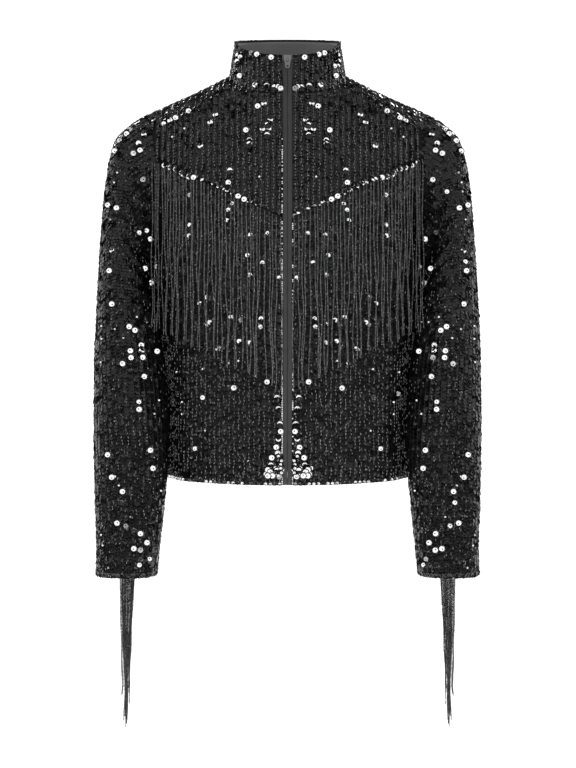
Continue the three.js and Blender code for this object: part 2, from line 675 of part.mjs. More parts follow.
function tassel() {
  const { outer, normals } = sleeveGrid();
  const columns = outer[0].length;
  const onBack = Array.from({ length: columns }, (_, j) => j).filter((j) => {
    const p = outer.at(-1)[j];
    return p.y > SLEEVE_ROWS.at(-1).centreY && Math.abs(p.x - TASSEL.middle) < 22;
  });
  const inside = (x, z, depth) => {
    const points = onBack.map((j) => {
      const [a, b] = [outer.at(-1)[j], outer.at(-2)[j]];
      const p = a.clone().lerp(b, (z - a.z) / (b.z - a.z));
      return p.addScaledVector(normals.at(-1)[j], -depth);
    });
    if (points[0].x > points.at(-1).x) points.reverse();
    const i = Math.max(1, points.findIndex((p) => p.x >= x));
    const [a, b] = [points[i - 1], points[i]];
    return a.clone().lerp(b, (x - a.x) / (b.x - a.x));
  };
  const across = (z, depth) => steps(8).map((s) => inside(TASSEL.middle + (s - 0.5) * 22, z, depth));
  const layer = (depth) => [across(TASSEL.foot, depth), across(TASSEL.top, depth)];
  const near = CLOTH + 0.5;
  const head = wall(layer(near), layer(near + 4.2));
  const hang = (lane, length, depth) => {
    const x = TASSEL.middle + lane * TASSEL.pitch;
    const y = inside(x, TASSEL.foot + 3, near + depth).y;
    const route = steps(6).map((s) => {
      const narrow = 1 - TASSEL.gather * Math.min(1, (s * length) / 140);
      const at = TASSEL.middle + (x - TASSEL.middle) * narrow;
      return new THREE.Vector3(at, y, TASSEL.foot + 3 - s * length);
    });
    return strand(route, TASSEL.radius);
  };
  const front = TASSEL_FRONT.map((length, i) => hang(i - 3, length, 3.4));
  const back = TASSEL_BACK.map((length, i) => hang(i - 2.5, length, 3.4 - TASSEL.layerGap));
  return joined([head, ...front, ...back]);
}

function finish(color, roughness, metalness = 0) {
  return new THREE.MeshStandardMaterial({ color, roughness, metalness });
}

const SEQUINS = finish(0x17171a, 0.35);
const LINING = finish(0x2b2b2d, 0.8);
const TAPE = finish(0x2a2a2c, 0.85);
const NYLON = finish(0x1c1c1e, 0.5);
const GUNMETAL = finish(0x4a4a4d, 0.35, 0.9);
const BEADS = finish(0x26262a, 0.3);

const jacket = new THREE.Group();

function add(name, geometry, material, parent = jacket) {
  const mesh = new THREE.Mesh(geometry, material);
  mesh.name = name;
  parent.add(mesh);
  return mesh;
}

function addPair(name, geometry, material) {
  add(name + "_left", geometry, material);
  add(name + "_right", mirrored(geometry), material);
}

const [frontHalf, yoke, backHalf, sleeve] = [frontPanel(), frontYoke(), halfBack(), sleeveGrid()];
matchSeams([frontHalf, yoke, backHalf, sleeve]);

addPair("front", clothWall(frontHalf), SEQUINS);
addPair("yoke", clothWall(yoke), SEQUINS);
add("back", clothWall(bothHalves(backHalf)), SEQUINS);
addPair("sleeve", clothWall(sleeve), SEQUINS);
add("collar", collar(), SEQUINS);
add("collar_facing", collarFacing(), LINING);

const line = centreLine();
addPair("zip_tape", zipTape(line), TAPE);
add("zip_chain", zipChain(line), NYLON);
add("zip_box", zipBox(line), NYLON);

const collarTop = collarPoint(0, 1).setX(0);
const collarLean = Math.atan2(COLLAR_TOP.front - NECK.front, COLLAR_TOP.frontZ - NECK.frontDrop);
const zipTop = new THREE.Group();
zipTop.position.copy(collarTop);
zipTop.rotation.x = -collarLean;
jacket.add(zipTop);
add("zip_slider", slider(), GUNMETAL, zipTop);
const tab = add("pull_tab", pullTab(), GUNMETAL, zipTop);
const sliderFace = ZIP.tapeSunk - SLIDER.gap - SLIDER.plate;
tab.position.set(0, sliderFace - (BRIDGE.rise - BRIDGE.thick) / 2, BRIDGE.centre);

addPair("fringe", fringe(sleeve.outer), BEADS);
addPair("tassel", tassel(), BEADS);

export default jacket;
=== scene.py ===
# %% [markdown]
# # A sequinned bomber jacket with bead fringe
# The jacket is filled out as if worn, with nobody in it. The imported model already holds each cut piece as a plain
# wall of cloth. Here each piece gets its finish: sewn sequins, threaded beads, woven tape and plated metal.
#
# Everything soft lies on the same surfaces as the solids, so the first cells repeat the jacket's few driving sizes.
# Those are in millimetres; meshes are in metres, in the model's own frame, with the front facing -Y.

# %% Load the frame
import math

import bmesh
import bpy
import numpy as np
from mathutils import Matrix, Vector
from mathutils.bvhtree import BVHTree


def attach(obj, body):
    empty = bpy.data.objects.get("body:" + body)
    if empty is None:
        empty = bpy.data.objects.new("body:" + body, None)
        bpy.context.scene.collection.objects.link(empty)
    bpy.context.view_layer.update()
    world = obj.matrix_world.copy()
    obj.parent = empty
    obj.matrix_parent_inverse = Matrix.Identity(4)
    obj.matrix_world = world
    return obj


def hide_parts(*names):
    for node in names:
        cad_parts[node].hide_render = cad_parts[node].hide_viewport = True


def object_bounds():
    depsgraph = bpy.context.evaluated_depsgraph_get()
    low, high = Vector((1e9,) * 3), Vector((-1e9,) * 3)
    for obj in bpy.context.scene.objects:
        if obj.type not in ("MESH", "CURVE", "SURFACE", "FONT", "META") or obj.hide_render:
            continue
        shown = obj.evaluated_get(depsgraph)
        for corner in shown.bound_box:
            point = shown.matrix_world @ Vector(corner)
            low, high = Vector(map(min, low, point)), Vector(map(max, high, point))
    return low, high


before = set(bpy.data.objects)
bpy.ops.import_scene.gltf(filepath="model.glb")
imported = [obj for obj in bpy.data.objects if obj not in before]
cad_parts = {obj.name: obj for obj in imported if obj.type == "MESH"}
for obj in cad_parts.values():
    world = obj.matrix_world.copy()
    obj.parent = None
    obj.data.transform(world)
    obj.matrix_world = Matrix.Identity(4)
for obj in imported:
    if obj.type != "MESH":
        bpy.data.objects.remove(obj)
cad_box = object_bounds()
MM = 0.001
SIDES = {"left": 1, "right": -1}  # the wearer's own sides, and the sign of x there
MIRROR = np.array([-1, 1, 1])
print("nodes:", len(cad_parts), "box:", [[round(x, 3) for x in corner] for corner in cad_box])

# %% [markdown]
# ## The camera
# The photo looks at the jacket level from the front, a little from above: the hem dips in the middle and the inside
# of the back collar shows. A long lens from almost three metres keeps the collar and cuffs at one scale.

# %% Place the camera
PHOTO_SCALE = 1.33  # millimetres a pixel at the shoulder seams
PHOTO_SIZE = (576, 768)
NECK_PIXEL = (287.5, 78)  # where the middle of the neck falls in the photo
LOOK_DOWN = math.radians(1.5)
CAMERA_DISTANCE = 2.8
SENSOR = 36

aim = Vector((
    (PHOTO_SIZE[0] / 2 - NECK_PIXEL[0]) * PHOTO_SCALE * MM,
    0,
    -(PHOTO_SIZE[1] / 2 - NECK_PIXEL[1]) * PHOTO_SCALE * MM,
))
camera = bpy.data.objects.new("camera", bpy.data.cameras.new("camera"))
camera.data.sensor_fit = "AUTO"
camera.data.sensor_width = SENSOR
camera.data.lens = SENSOR * CAMERA_DISTANCE / (PHOTO_SIZE[1] * PHOTO_SCALE * MM)
back_off = Vector((0, -math.cos(LOOK_DOWN), math.sin(LOOK_DOWN)))
camera.location = aim + back_off * CAMERA_DISTANCE
camera.rotation_euler = (-back_off).to_track_quat("-Z", "Y").to_euler()
bpy.context.scene.collection.objects.link(camera)
bpy.context.scene.camera = camera
print("lens:", round(camera.data.lens, 1), "mm")

# %% [markdown]
# ## The jacket's own surfaces
# A pattern cutter thinks of a body as level sections, each with a depth at the centre and a width at the side seam.
# The tables list those sections for the front and the back, and rings for the sleeve. A smooth curve runs through
# each column of a table, so a surface can be read at any height and as finely as a finish needs.

# %% Driving sizes, in millimetres
CLOTH = 1.8
ZIP_HALF = 6.8
NECK = {"half_width": 76, "front": -88, "front_drop": -31, "back": 68, "back_rise": 6}
COLLAR_TOP = {"half_width": 68.5, "front": -75, "front_z": 19, "back": 70, "back_z": 58.5, "side_z": 47}
SHOULDER_TIP = np.array([184.0, 4.0, -49.0])
SHOULDER_DIP = 1.5
NECK_SHARE = 0.42

# centre z, centre y, edge x, edge y, edge z, turn in degrees, squareness, bow of the level
FRONT_ROWS = np.array([
    [-534, -110, 159, 0, -529, 90, 2.6, 1.8],  # hem
    [-430, -112, 161, 0, -427, 90, 2.55, 1.8],  # waist
    [-330, -117, 169, 0, -327, 90, 2.5, 1.8],  # midriff
    [-262, -120, 175, 0, -252, 90, 2.4, 1.5],  # armpit
    [-228, -120, 169, -42, -190, 74, 2.3, 1.2],  # armhole
    [-191, -118, 171, -56, -115, 62, 2.2, 1.0],  # yoke seam
])
BACK_ROWS = np.array([
    [-531, 104, 159, 0, -529, 90, 2.6, 1.8],  # hem
    [-428, 102, 161, 0, -427, 90, 2.5, 1.8],  # waist
    [-328, 108, 169, 0, -327, 90, 2.4, 1.8],  # midriff
    [-252, 114, 175, 0, -252, 90, 2.3, 1.8],  # armpit
    [-200, 115, 169, 40, -190, 74, 2.2, 1.8],  # armhole
    [-135, 110, 172, 52, -115, 62, 2.2, 1.8],  # blade
])
ARMPIT_ROW = 3
LAST_ROW = 5

# outer x, outer z, inner x, inner z, centre y, half depth
SLEEVE_ROWS = np.array([
    [203, -62, 179, -261, -3, 57],  # cap
    [226, -85, 180, -272, -5, 60],  # shoulder turn
    [238, -136, 177.5, -286, -12, 61],  # upper arm
    [244.5, -215, 173, -312, -24, 60],  # biceps
    [248.5, -300, 166.5, -350, -38, 58],  # above the elbow
    [251.5, -385, 158.5, -405, -45, 55],  # elbow
    [251.5, -468, 154.5, -470, -54, 52],  # below the elbow
    [250, -556, 161, -556, -57, 48],  # forearm
    [248, -616, 167.5, -616, -57, 45],  # wrist
    [249.5, -654, 171, -654, -55, 43],  # cuff
])
SLEEVE_SQUARE = 2.25

# place round and along as shares, half widths as shares, depth (minus is in), slant
FRONT_FOLDS = [
    (0.78, 0.2, 0.09, 0.28, -4.5, 0.1),
    (0.6, 0.14, 0.07, 0.2, 2.5, 0.08),
]
BACK_FOLDS = [
    (0.74, 0.25, 0.09, 0.28, -4.5, 0.08),
    (0.42, 0.18, 0.09, 0.24, 3.0, 0.05),
]
SLEEVE_FOLDS = [
    (0.33, 0.5, 0.07, 0.05, -4.5, 0.25),
    (0.36, 0.62, 0.07, 0.05, -4, -0.2),
    (0.72, 0.55, 0.09, 0.05, -4.5, 0.2),
    (0.2, 0.82, 0.04, 0.16, -2.5, 0.05),
    (0.66, 0.84, 0.04, 0.14, -2.5, -0.05),
]


# %% Curves and paths
def hermite(p0, m0, p1, m1, s):
    return (
        p0 * (2 * s**3 - 3 * s**2 + 1)
        + m0 * (s**3 - 2 * s**2 + s)
        + p1 * (3 * s**2 - 2 * s**3)
        + m1 * (s**3 - s**2)
    )


def smooth(values, t):
    """Curves through values at 0, 1, 2 ... along the first axis, that never overshoot, read at each t."""
    rise = np.diff(values, axis=0)
    before, after = rise[:-1], rise[1:]
    same_way = before * after > 0
    slope = np.zeros_like(values)
    slope[0], slope[-1] = rise[0], rise[-1]
    slope[1:-1][same_way] = (2 * before * after)[same_way] / (before + after)[same_way]
    k = np.minimum(np.floor(t).astype(int), len(values) - 2)
    s = (t - k).reshape((-1,) + (1,) * (values.ndim - 1))
    return hermite(values[k], slope[k], values[k + 1], slope[k + 1], s)


def lengths_along(points):
    steps = np.linalg.norm(np.diff(points, axis=0), axis=1)
    return np.concatenate([[0], np.cumsum(steps)])


def read_along(values, run, at):
    """The values that belong to a path, read at given lengths along it."""
    return np.stack([np.interp(at, run, values[:, axis]) for axis in range(3)], axis=-1)


def along_path(points, shares):
    """Points at shares of a path's length."""
    run = lengths_along(points)
    return read_along(points, run, shares * run[-1])


def unit(vectors):
    return vectors / np.maximum(np.linalg.norm(vectors, axis=-1, keepdims=True), 1e-9)


# %% Body and yoke surfaces
SECTION_POINTS = 97
LEAN_AT_NECK, LEAN_AT_SEAM = 28, 90  # degrees off upright as the cloth arrives at the neck and at the shoulder seam
LEAVE_PULL, ARRIVE_PULL = 0.9, 0.95  # how long it keeps the direction of each end, as a share of its span


def section_curve(row, start_x):
    centre_z, centre_y, edge_x, edge_y, edge_z, turn, square, bow = row
    angles = np.linspace(0, 1, SECTION_POINTS) * math.radians(turn)
    power = 2 / square
    x = start_x + (edge_x - start_x) * np.sin(angles) ** power / math.sin(angles[-1]) ** power
    fallen = 1 - np.maximum(np.cos(angles), 0) ** power
    y = centre_y + (edge_y - centre_y) * fallen / fallen[-1]
    z = centre_z + (edge_z - centre_z) * ((x - start_x) / (edge_x - start_x)) ** bow
    return np.stack([x, y, z], axis=-1)


def body_grid(rows, levels, shares, start_x):
    levels = np.asarray(levels, dtype=float)
    return np.stack([along_path(section_curve(row, start_x), shares) for row in smooth(rows, levels)])


def neck_line(side, degrees, start_x):
    b = np.radians(degrees)
    depth, rise = (NECK["front"], NECK["front_drop"]) if side < 0 else (NECK["back"], NECK["back_rise"])
    x = start_x + (NECK["half_width"] - start_x) * np.sin(b)
    return np.stack([x, depth * np.cos(b), rise * np.cos(b)], axis=-1)


def top_line(side, shares, start_x):
    """Half of the neckline, then the shoulder seam."""
    neck = neck_line(side, np.minimum(shares / NECK_SHARE, 1) * 90, start_x)
    s = np.maximum(shares - NECK_SHARE, 0)[:, None] / (1 - NECK_SHARE)
    seam = np.array([NECK["half_width"], 0, 0]) * (1 - s) + SHOULDER_TIP * s
    seam[:, 2] -= SHOULDER_DIP * np.sin(s[:, 0] * math.pi)
    return np.where(shares[:, None] > NECK_SHARE, seam, neck)


def upper_grid(rows, side, levels, shares, start_x):
    """Cloth that leans back over the shoulder from the last section."""
    below, start = body_grid(rows, [LAST_ROW - 0.1, LAST_ROW], shares, start_x)
    end = top_line(side, shares, start_x)
    reach = np.linalg.norm(end - start, axis=1, keepdims=True)
    lean = np.radians(np.minimum(1, shares / NECK_SHARE) * (LEAN_AT_SEAM - LEAN_AT_NECK) + LEAN_AT_NECK)
    leave = unit(start - below) * reach * LEAVE_PULL
    arrive = np.stack([0 * lean, -side * np.sin(lean), np.cos(lean)], axis=-1) * reach * ARRIVE_PULL
    return hermite(start, leave, end, arrive, np.asarray(levels)[:, None, None])


def fold_depth(folds, around, along):
    depth = 0
    for place, height, half_around, half_along, deep, slant in folds:
        a = (around - place - slant * (along - height)) / half_around
        b = (along - height) / half_along
        depth = depth + deep * np.exp(-a * a - b * b)
    return depth


# %% [markdown]
# A surface is kept as a fine grid of points with an outward normal at each. Anything sewn on asks it for a place:
# a row and a column of the grid, whole or in between.

# %% A cloth surface to sew on
class Surface:
    def __init__(self, points, inside):
        self.points = points
        self.normals = self.outward(points, inside)

    @staticmethod
    def outward(points, inside):
        up = np.gradient(points, axis=0)
        across = np.gradient(points, axis=1)
        normals = unit(np.cross(across, up))
        out = np.sum(normals * (points - inside), axis=-1)
        return normals * np.where(np.median(out) < 0, -1, 1)

    @classmethod
    def with_folds(cls, points, inside, relief):
        normals = cls.outward(points, inside)
        return cls(points + normals * np.asarray(relief)[..., None], inside)

    def at(self, rows, columns):
        """Points and normals at places in between the grid's own."""
        return self.read(self.points, rows, columns), unit(self.read(self.normals, rows, columns))

    @staticmethod
    def read(grid, rows, columns):
        i = np.clip(np.floor(rows).astype(int), 0, grid.shape[0] - 2)
        j = np.clip(np.floor(columns).astype(int), 0, grid.shape[1] - 2)
        s = (rows - i)[:, None]
        t = (columns - j)[:, None]
        low = grid[i, j] * (1 - t) + grid[i, j + 1] * t
        high = grid[i + 1, j] * (1 - t) + grid[i + 1, j + 1] * t
        return low * (1 - s) + high * s

    @classmethod
    def made(cls, points, normals):
        surface = cls.__new__(cls)
        surface.points = points
        surface.normals = normals
        return surface

    def mirrored(self):
        return Surface.made(self.points * MIRROR, self.normals * MIRROR)

    def reversed(self):
        """The same cloth with its columns from the other end."""
        return Surface.made(self.points[:, ::-1], self.normals[:, ::-1])

    def half(self, columns):
        return Surface.made(self.points[:, columns], self.normals[:, columns])


INSIDE_BODY = np.array([0, 0, -250.0])
FINE = np.linspace(0, 1, 61)
BACK_FOLD_SPAN = 0.93  # where the last section falls on the scale that the back's folds are placed on

front_levels = np.linspace(0, LAST_ROW, 121)
front = Surface.with_folds(
    body_grid(FRONT_ROWS, front_levels, FINE, ZIP_HALF),
    INSIDE_BODY,
    fold_depth(FRONT_FOLDS, FINE[None, :], front_levels[:, None] / LAST_ROW),
)
yoke = Surface(upper_grid(FRONT_ROWS, -1, FINE, FINE, ZIP_HALF), INSIDE_BODY)

back_lower = body_grid(BACK_ROWS, front_levels, FINE, 0)
back_upper = upper_grid(BACK_ROWS, 1, FINE[1:], FINE, 0)
back_share = np.minimum(1, np.concatenate([front_levels / LAST_ROW, np.ones(len(FINE) - 1)]))
back = Surface.with_folds(
    np.concatenate([back_lower, back_upper]),
    INSIDE_BODY,
    fold_depth(BACK_FOLDS, FINE[None, :], back_share[:, None] * BACK_FOLD_SPAN),
)
back.normals[:, 0, 0] = 0
back.normals[:, 0] = unit(back.normals[:, 0])
print("front panel at the waist:", front.points[24, -1].round(1))

# %% [markdown]
# The sleeve starts on the armhole, so its first ring is read off the body: from the shoulder down the front to the
# armpit and up the back. The rings below turn and narrow towards the cuff.

# %% Sleeve surface
ARMHOLE_PARTS = (7, 6)  # steps of the armhole above and below the yoke seam
HALF_RING = sum(ARMHOLE_PARTS)


def armhole_line(count):
    """count points round the armhole, evenly spaced in the steps that the sleeve's turn follows."""
    above, below = ARMHOLE_PARTS
    place = np.linspace(0, 2 * HALF_RING, count, endpoint=False)
    edge = np.ones(1)
    points = []
    for p in place:
        rows, side, start_x = (FRONT_ROWS, -1, ZIP_HALF) if p <= HALF_RING else (BACK_ROWS, 1, 0)
        q = p if p <= HALF_RING else 2 * HALF_RING - p
        if q <= above:
            points.append(upper_grid(rows, side, [1 - q / above], edge, start_x)[0, 0])
        else:
            level = LAST_ROW - (q - above) * (LAST_ROW - ARMPIT_ROW) / below
            points.append(body_grid(rows, [level], edge, start_x)[0, 0])
    return np.array(points)


def sleeve_ring(row, turns):
    outer_x, outer_z, inner_x, inner_z, centre_y, half_depth = row
    c = np.sign(np.cos(turns)) * np.abs(np.cos(turns)) ** (2 / SLEEVE_SQUARE)
    s = np.sign(np.sin(turns)) * np.abs(np.sin(turns)) ** (2 / SLEEVE_SQUARE)
    return np.stack([
        (outer_x + inner_x) / 2 + c * (outer_x - inner_x) / 2,
        centre_y - s * half_depth,
        (outer_z + inner_z) / 2 + c * (outer_z - inner_z) / 2,
    ], axis=-1)


RING_POINTS = 104
turns = np.linspace(0, 2 * math.pi, RING_POINTS, endpoint=False)
rings = np.stack([armhole_line(RING_POINTS)] + [sleeve_ring(row, turns) for row in SLEEVE_ROWS])
sleeve_levels = np.linspace(0, len(SLEEVE_ROWS), 201)
sleeve_points = smooth(rings, sleeve_levels)
sleeve_points = np.concatenate([sleeve_points, sleeve_points[:, :1]], axis=1)
sleeve_middle = sleeve_points[:, :-1].mean(axis=1, keepdims=True)
ring_share = np.linspace(0, 1, RING_POINTS + 1)
sleeve = Surface.with_folds(
    sleeve_points,
    sleeve_middle,
    fold_depth(SLEEVE_FOLDS, ring_share[None, :], sleeve_levels[:, None] / len(SLEEVE_ROWS)),
)
closing = unit(sleeve.normals[:, 0] + sleeve.normals[:, -1])
sleeve.normals[:, 0] = closing
sleeve.normals[:, -1] = closing
print("cuff:", sleeve.points[-1].min(axis=0).round(0), sleeve.points[-1].max(axis=0).round(0))


# %% Collar surface
def collar_grid(heights, degrees):
    """From the zip round to the centre back: 0 degrees is the front and 180 the back."""
    rows = []
    for height in heights:
        points = []
        for b in degrees:
            side, start_x, quarter = (-1, ZIP_HALF, b) if b <= 90 else (1, 0, 180 - b)
            foot = neck_line(side, np.array([quarter]), start_x)[0]
            depth = COLLAR_TOP["front"] if side < 0 else COLLAR_TOP["back"]
            top_z = COLLAR_TOP["front_z"] if side < 0 else COLLAR_TOP["back_z"]
            c, s = math.cos(math.radians(quarter)), math.sin(math.radians(quarter))
            head = np.array([
                start_x + (COLLAR_TOP["half_width"] - start_x) * s,
                depth * c,
                COLLAR_TOP["side_z"] + (top_z - COLLAR_TOP["side_z"]) * c,
            ])
            points.append(foot * (1 - height) + head * height)
        rows.append(points)
    return np.array(rows)


collar = Surface(collar_grid(np.linspace(0, 1, 17), np.linspace(0, 180, 73)), np.array([0, 0, 20.0]))
collar.normals[:, -1, 0] = 0
collar.normals[:, -1] = unit(collar.normals[:, -1])
print("collar top at the back:", collar.points[-1, -1].round(1))

# %% [markdown]
# ## Materials
# Each one starts from what the real thing is made of. Colours are written as they look on a screen and turned to
# linear light by one function, and one more function adds a node with its settings and links.


# %% Colour and node helpers
def linear(hex_colour):
    channels = [int(hex_colour[i:i + 2], 16) / 255 for i in (1, 3, 5)]
    return tuple(c / 12.92 if c <= 0.04045 else ((c + 0.055) / 1.055) ** 2.4 for c in channels) + (1.0,)


def add_node(tree, kind, settings=None, links=None):
    """A node with its own settings and socket values, and links from other nodes' outputs."""
    node = tree.nodes.new(kind)
    for name, value in (settings or {}).items():
        if hasattr(node, str(name)):
            setattr(node, name, value)
        else:
            node.inputs[name].default_value = value
    for name, (other, output) in (links or {}).items():
        tree.links.new(other.outputs[output], node.inputs[name])
    return node


def new_material(name, **sockets):
    material = bpy.data.materials.new(name)
    material.use_nodes = True
    shader = material.node_tree.nodes["Principled BSDF"]
    for socket, value in sockets.items():
        shader.inputs[socket.replace("_", " ")].default_value = value
    return material, material.node_tree, shader


# %% [markdown]
# Sequins are punched from black PET film: smooth, glossy, and flat enough to mirror a lamp. A hole is punched in the
# middle for the thread. The hole is too small to cut in every disc, so the finish darkens and dulls the middle of
# each one, read from the disc's own UV map, and each disc has its own shade. The pressed rim turns up by about a
# quarter of a millimetre, which a bump along the same map gives: it catches the light beside each string.

# %% Sequin film
SEQUIN_RADIUS = 3.8
HOLE_OFF = 0.9  # the punch is not quite central
HOLE_SHARE = 0.19  # the hole's radius as a share of the sequin's
RIM_FROM = 0.76  # the cup's rim starts this far out
RIM_RISE = 0.25 * MM

sequin_film, tree, shader = new_material("black_pet_sequin_film", Roughness=0.09, IOR=1.58)
disc_uv = add_node(tree, "ShaderNodeUVMap", {"uv_map": "disc"})
from_hole = add_node(
    tree, "ShaderNodeVectorMath",
    {"operation": "DISTANCE", 1: (0.5 + HOLE_OFF / (2 * SEQUIN_RADIUS), 0.5, 0)},
    {0: (disc_uv, 0)},
)
hole = add_node(
    tree, "ShaderNodeMapRange",
    {"From Min": HOLE_SHARE * 0.4, "From Max": HOLE_SHARE * 0.6},
    {"Value": (from_hole, "Value")},
)
own_shade = add_node(tree, "ShaderNodeAttribute", {"attribute_name": "shade"})
film = add_node(
    tree, "ShaderNodeMix", {"data_type": "RGBA", 6: linear("#040404"), 7: linear("#1f1f20")}, {0: (own_shade, "Fac")},
)
punched = add_node(
    tree, "ShaderNodeMix", {"data_type": "RGBA", 6: linear("#040404")}, {0: (hole, "Result"), 7: (film, 2)},
)
dull_hole = add_node(
    tree, "ShaderNodeMapRange", {"To Min": 0.9, "To Max": 0.09}, {"Value": (hole, "Result")},
)
from_centre = add_node(
    tree, "ShaderNodeVectorMath", {"operation": "DISTANCE", 1: (0.5, 0.5, 0)}, {0: (disc_uv, 0)},
)
raised_rim = add_node(
    tree, "ShaderNodeMapRange",
    {"interpolation_type": "SMOOTHSTEP", "From Min": 0.5 * RIM_FROM, "From Max": 0.5},
    {"Value": (from_centre, "Value")},
)
rim_bump = add_node(
    tree, "ShaderNodeBump", {"Strength": 1.0, "Distance": RIM_RISE}, {"Height": (raised_rim, "Result")},
)
tree.links.new(rim_bump.outputs["Normal"], shader.inputs["Normal"])
tree.links.new(punched.outputs[2], shader.inputs["Base Color"])
tree.links.new(dull_hole.outputs["Result"], shader.inputs["Roughness"])
print("made", sequin_film.name)

# %% [markdown]
# Between the sequins shows the ground they are sewn to: black polyester net, matte, with a fine regular mesh. The
# facing and the zip's tape are plain grey weaves. Their threads are drawn at about twice the real spacing, so that
# they show at all.

# %% Net ground, facing, tape and the rest
NET_MESH = 1.6 * MM
CREPE_THREADS = 0.9 * MM
TAPE_THREADS = 1.1 * MM
BAND_SPACING = 0.314  # metres from one band of a wave texture to the next, at a scale of 1
# patches of colour a metre, which makes them 17, 29, 11, 5 and 4 mm wide
NET_PATCHES, CREPE_PATCHES, TAPE_PATCHES, NYLON_PATCHES, METAL_PATCHES = 60, 35, 90, 200, 260


def woven_bump(tree, shader, spacing, strength, depth):
    """Crossing ribs at a real thread spacing, on the object's own coordinates, joined to the shader's normal."""
    place = add_node(tree, "ShaderNodeTexCoord")
    ribs = [
        add_node(
            tree, "ShaderNodeTexWave",
            {"wave_type": "BANDS", "bands_direction": direction, "Scale": BAND_SPACING / spacing, "Distortion": 0.6},
            {"Vector": (place, "Object")},
        )
        for direction in ("X", "Z")
    ]
    crossed = add_node(
        tree, "ShaderNodeMath", {"operation": "MULTIPLY"}, {0: (ribs[0], "Fac"), 1: (ribs[1], "Fac")},
    )
    bump = add_node(
        tree, "ShaderNodeBump", {"Strength": strength, "Distance": depth}, {"Height": (crossed, "Value")},
    )
    tree.links.new(bump.outputs["Normal"], shader.inputs["Normal"])
    return place


def mottled(tree, shader, place, light, dark, scale):
    """A slow change between two colours, as dye takes a little unevenly; on the clear thread it is a painted glint.
    """
    noise = add_node(tree, "ShaderNodeTexNoise", {"Scale": scale, "Detail": 4.0}, {"Vector": (place, "Object")})
    colours = add_node(
        tree, "ShaderNodeMix", {"data_type": "RGBA", 6: linear(light), 7: linear(dark)}, {0: (noise, "Fac")},
    )
    tree.links.new(colours.outputs[2], shader.inputs["Base Color"])


net_ground, tree, shader = new_material("black_polyester_net", Roughness=0.85)
net = woven_bump(tree, shader, NET_MESH, 0.6, 0.3 * MM)
mottled(tree, shader, net, "#0b0b0c", "#161617", NET_PATCHES)

facing_cloth, tree, shader = new_material("grey_polyester_crepe", Roughness=0.75, Sheen_Weight=0.15)
crepe = woven_bump(tree, shader, CREPE_THREADS, 0.25, 0.15 * MM)
mottled(tree, shader, crepe, "#9a9a9c", "#7e7e80", CREPE_PATCHES)

zip_tape_weave, tree, shader = new_material("grey_herringbone_tape", Roughness=0.8)
herringbone = woven_bump(tree, shader, TAPE_THREADS, 0.7, 0.2 * MM)
mottled(tree, shader, herringbone, "#5a5a5c", "#4c4c4e", TAPE_PATCHES)

nylon_coil, tree, shader = new_material("black_nylon_coil", Roughness=0.42, IOR=1.53)
mottled(tree, shader, add_node(tree, "ShaderNodeTexCoord"), "#1c1c1e", "#121214", NYLON_PATCHES)

gunmetal, tree, shader = new_material("gunmetal_plated_zinc", Metallic=1.0, Roughness=0.38)
mottled(tree, shader, add_node(tree, "ShaderNodeTexCoord"), "#b0b0b4", "#8c8c90", METAL_PATCHES)

# %% [markdown]
# The sequins are held by a clear nylon thread that runs through every hole and over the disc's foot. It is what shows
# as a dotted grey line down each string, plain in some places and faint in others. That change is painted: the
# thread's colour goes from near white to near black in slow patches, a painted glint where it would catch the lamps.

# %% Clear thread
THREAD_GLINT_PATCH = 40 * MM

painted_glint_thread, tree, shader = new_material("clear_nylon_monofilament", Roughness=0.3, IOR=1.53)
# painted glint: the thread runs from near white to near black in patches this wide, as if it caught the lamps or not
mottled(tree, shader, add_node(tree, "ShaderNodeTexCoord"), "#ececf0", "#0a0a0b", 1 / THREAD_GLINT_PATCH)
print("made", painted_glint_thread.name)

# %% [markdown]
# The fringe is threaded with black glass seed beads that have a thin lustre coat, so they hold a grey highlight where
# plain black glass would go quite dark. The coat is metal, thin enough that half of it is metallic to the eye.

# %% Bead glass
bead_glass, tree, shader = new_material("black_lustre_seed_bead", Roughness=0.15, IOR=1.55, Metallic=0.5)
# each bead's colour comes from its shade: spread at random on the fringe, and dark on the tassels, where it is
# painted shade
bead_shade = add_node(tree, "ShaderNodeAttribute", {"attribute_name": "shade"})
lustre = add_node(
    tree, "ShaderNodeMix",
    {"data_type": "RGBA", 6: linear("#303033"), 7: linear("#c0c0c3")},
    {0: (bead_shade, "Fac")},
)
tree.links.new(lustre.outputs[2], shader.inputs["Base Color"])
print("materials:", [m.name for m in bpy.data.materials])

# %% [markdown]
# ## Cloth panels
# Each panel is one piece of net on its backing. A grid is laid on the panel's surface and given the cloth's
# thickness, and the panel's area is measured on its surface.


# %% Panels from a grid
def link(name, mesh, material, body="jacket"):
    mesh.materials.append(material)
    piece = bpy.data.objects.new(name, mesh)
    bpy.context.scene.collection.objects.link(piece)
    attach(piece, body)
    return piece


def grid_faces(points, closed=False):
    """Faces through a grid of points: an even plane whose vertices are moved to them."""
    rows, columns = points.shape[:2]
    bm = bmesh.new()
    bmesh.ops.create_grid(bm, x_segments=columns - 1, y_segments=rows - 1, size=1)
    bm.verts.ensure_lookup_table()
    flat = np.array([v.co[:2] for v in bm.verts]).round(6)
    for index, point in zip(np.lexsort((flat[:, 0], flat[:, 1])), points.reshape(-1, 3) * MM):
        bm.verts[index].co = point
    if closed:
        bmesh.ops.remove_doubles(bm, verts=bm.verts, dist=1e-6)
    return bm


def finished_mesh(name, bm):
    """The bmesh as a mesh that is shaded smooth."""
    for face in bm.faces:
        face.smooth = True
    mesh = bpy.data.meshes.new(name)
    bm.to_mesh(mesh)
    bm.free()
    return mesh


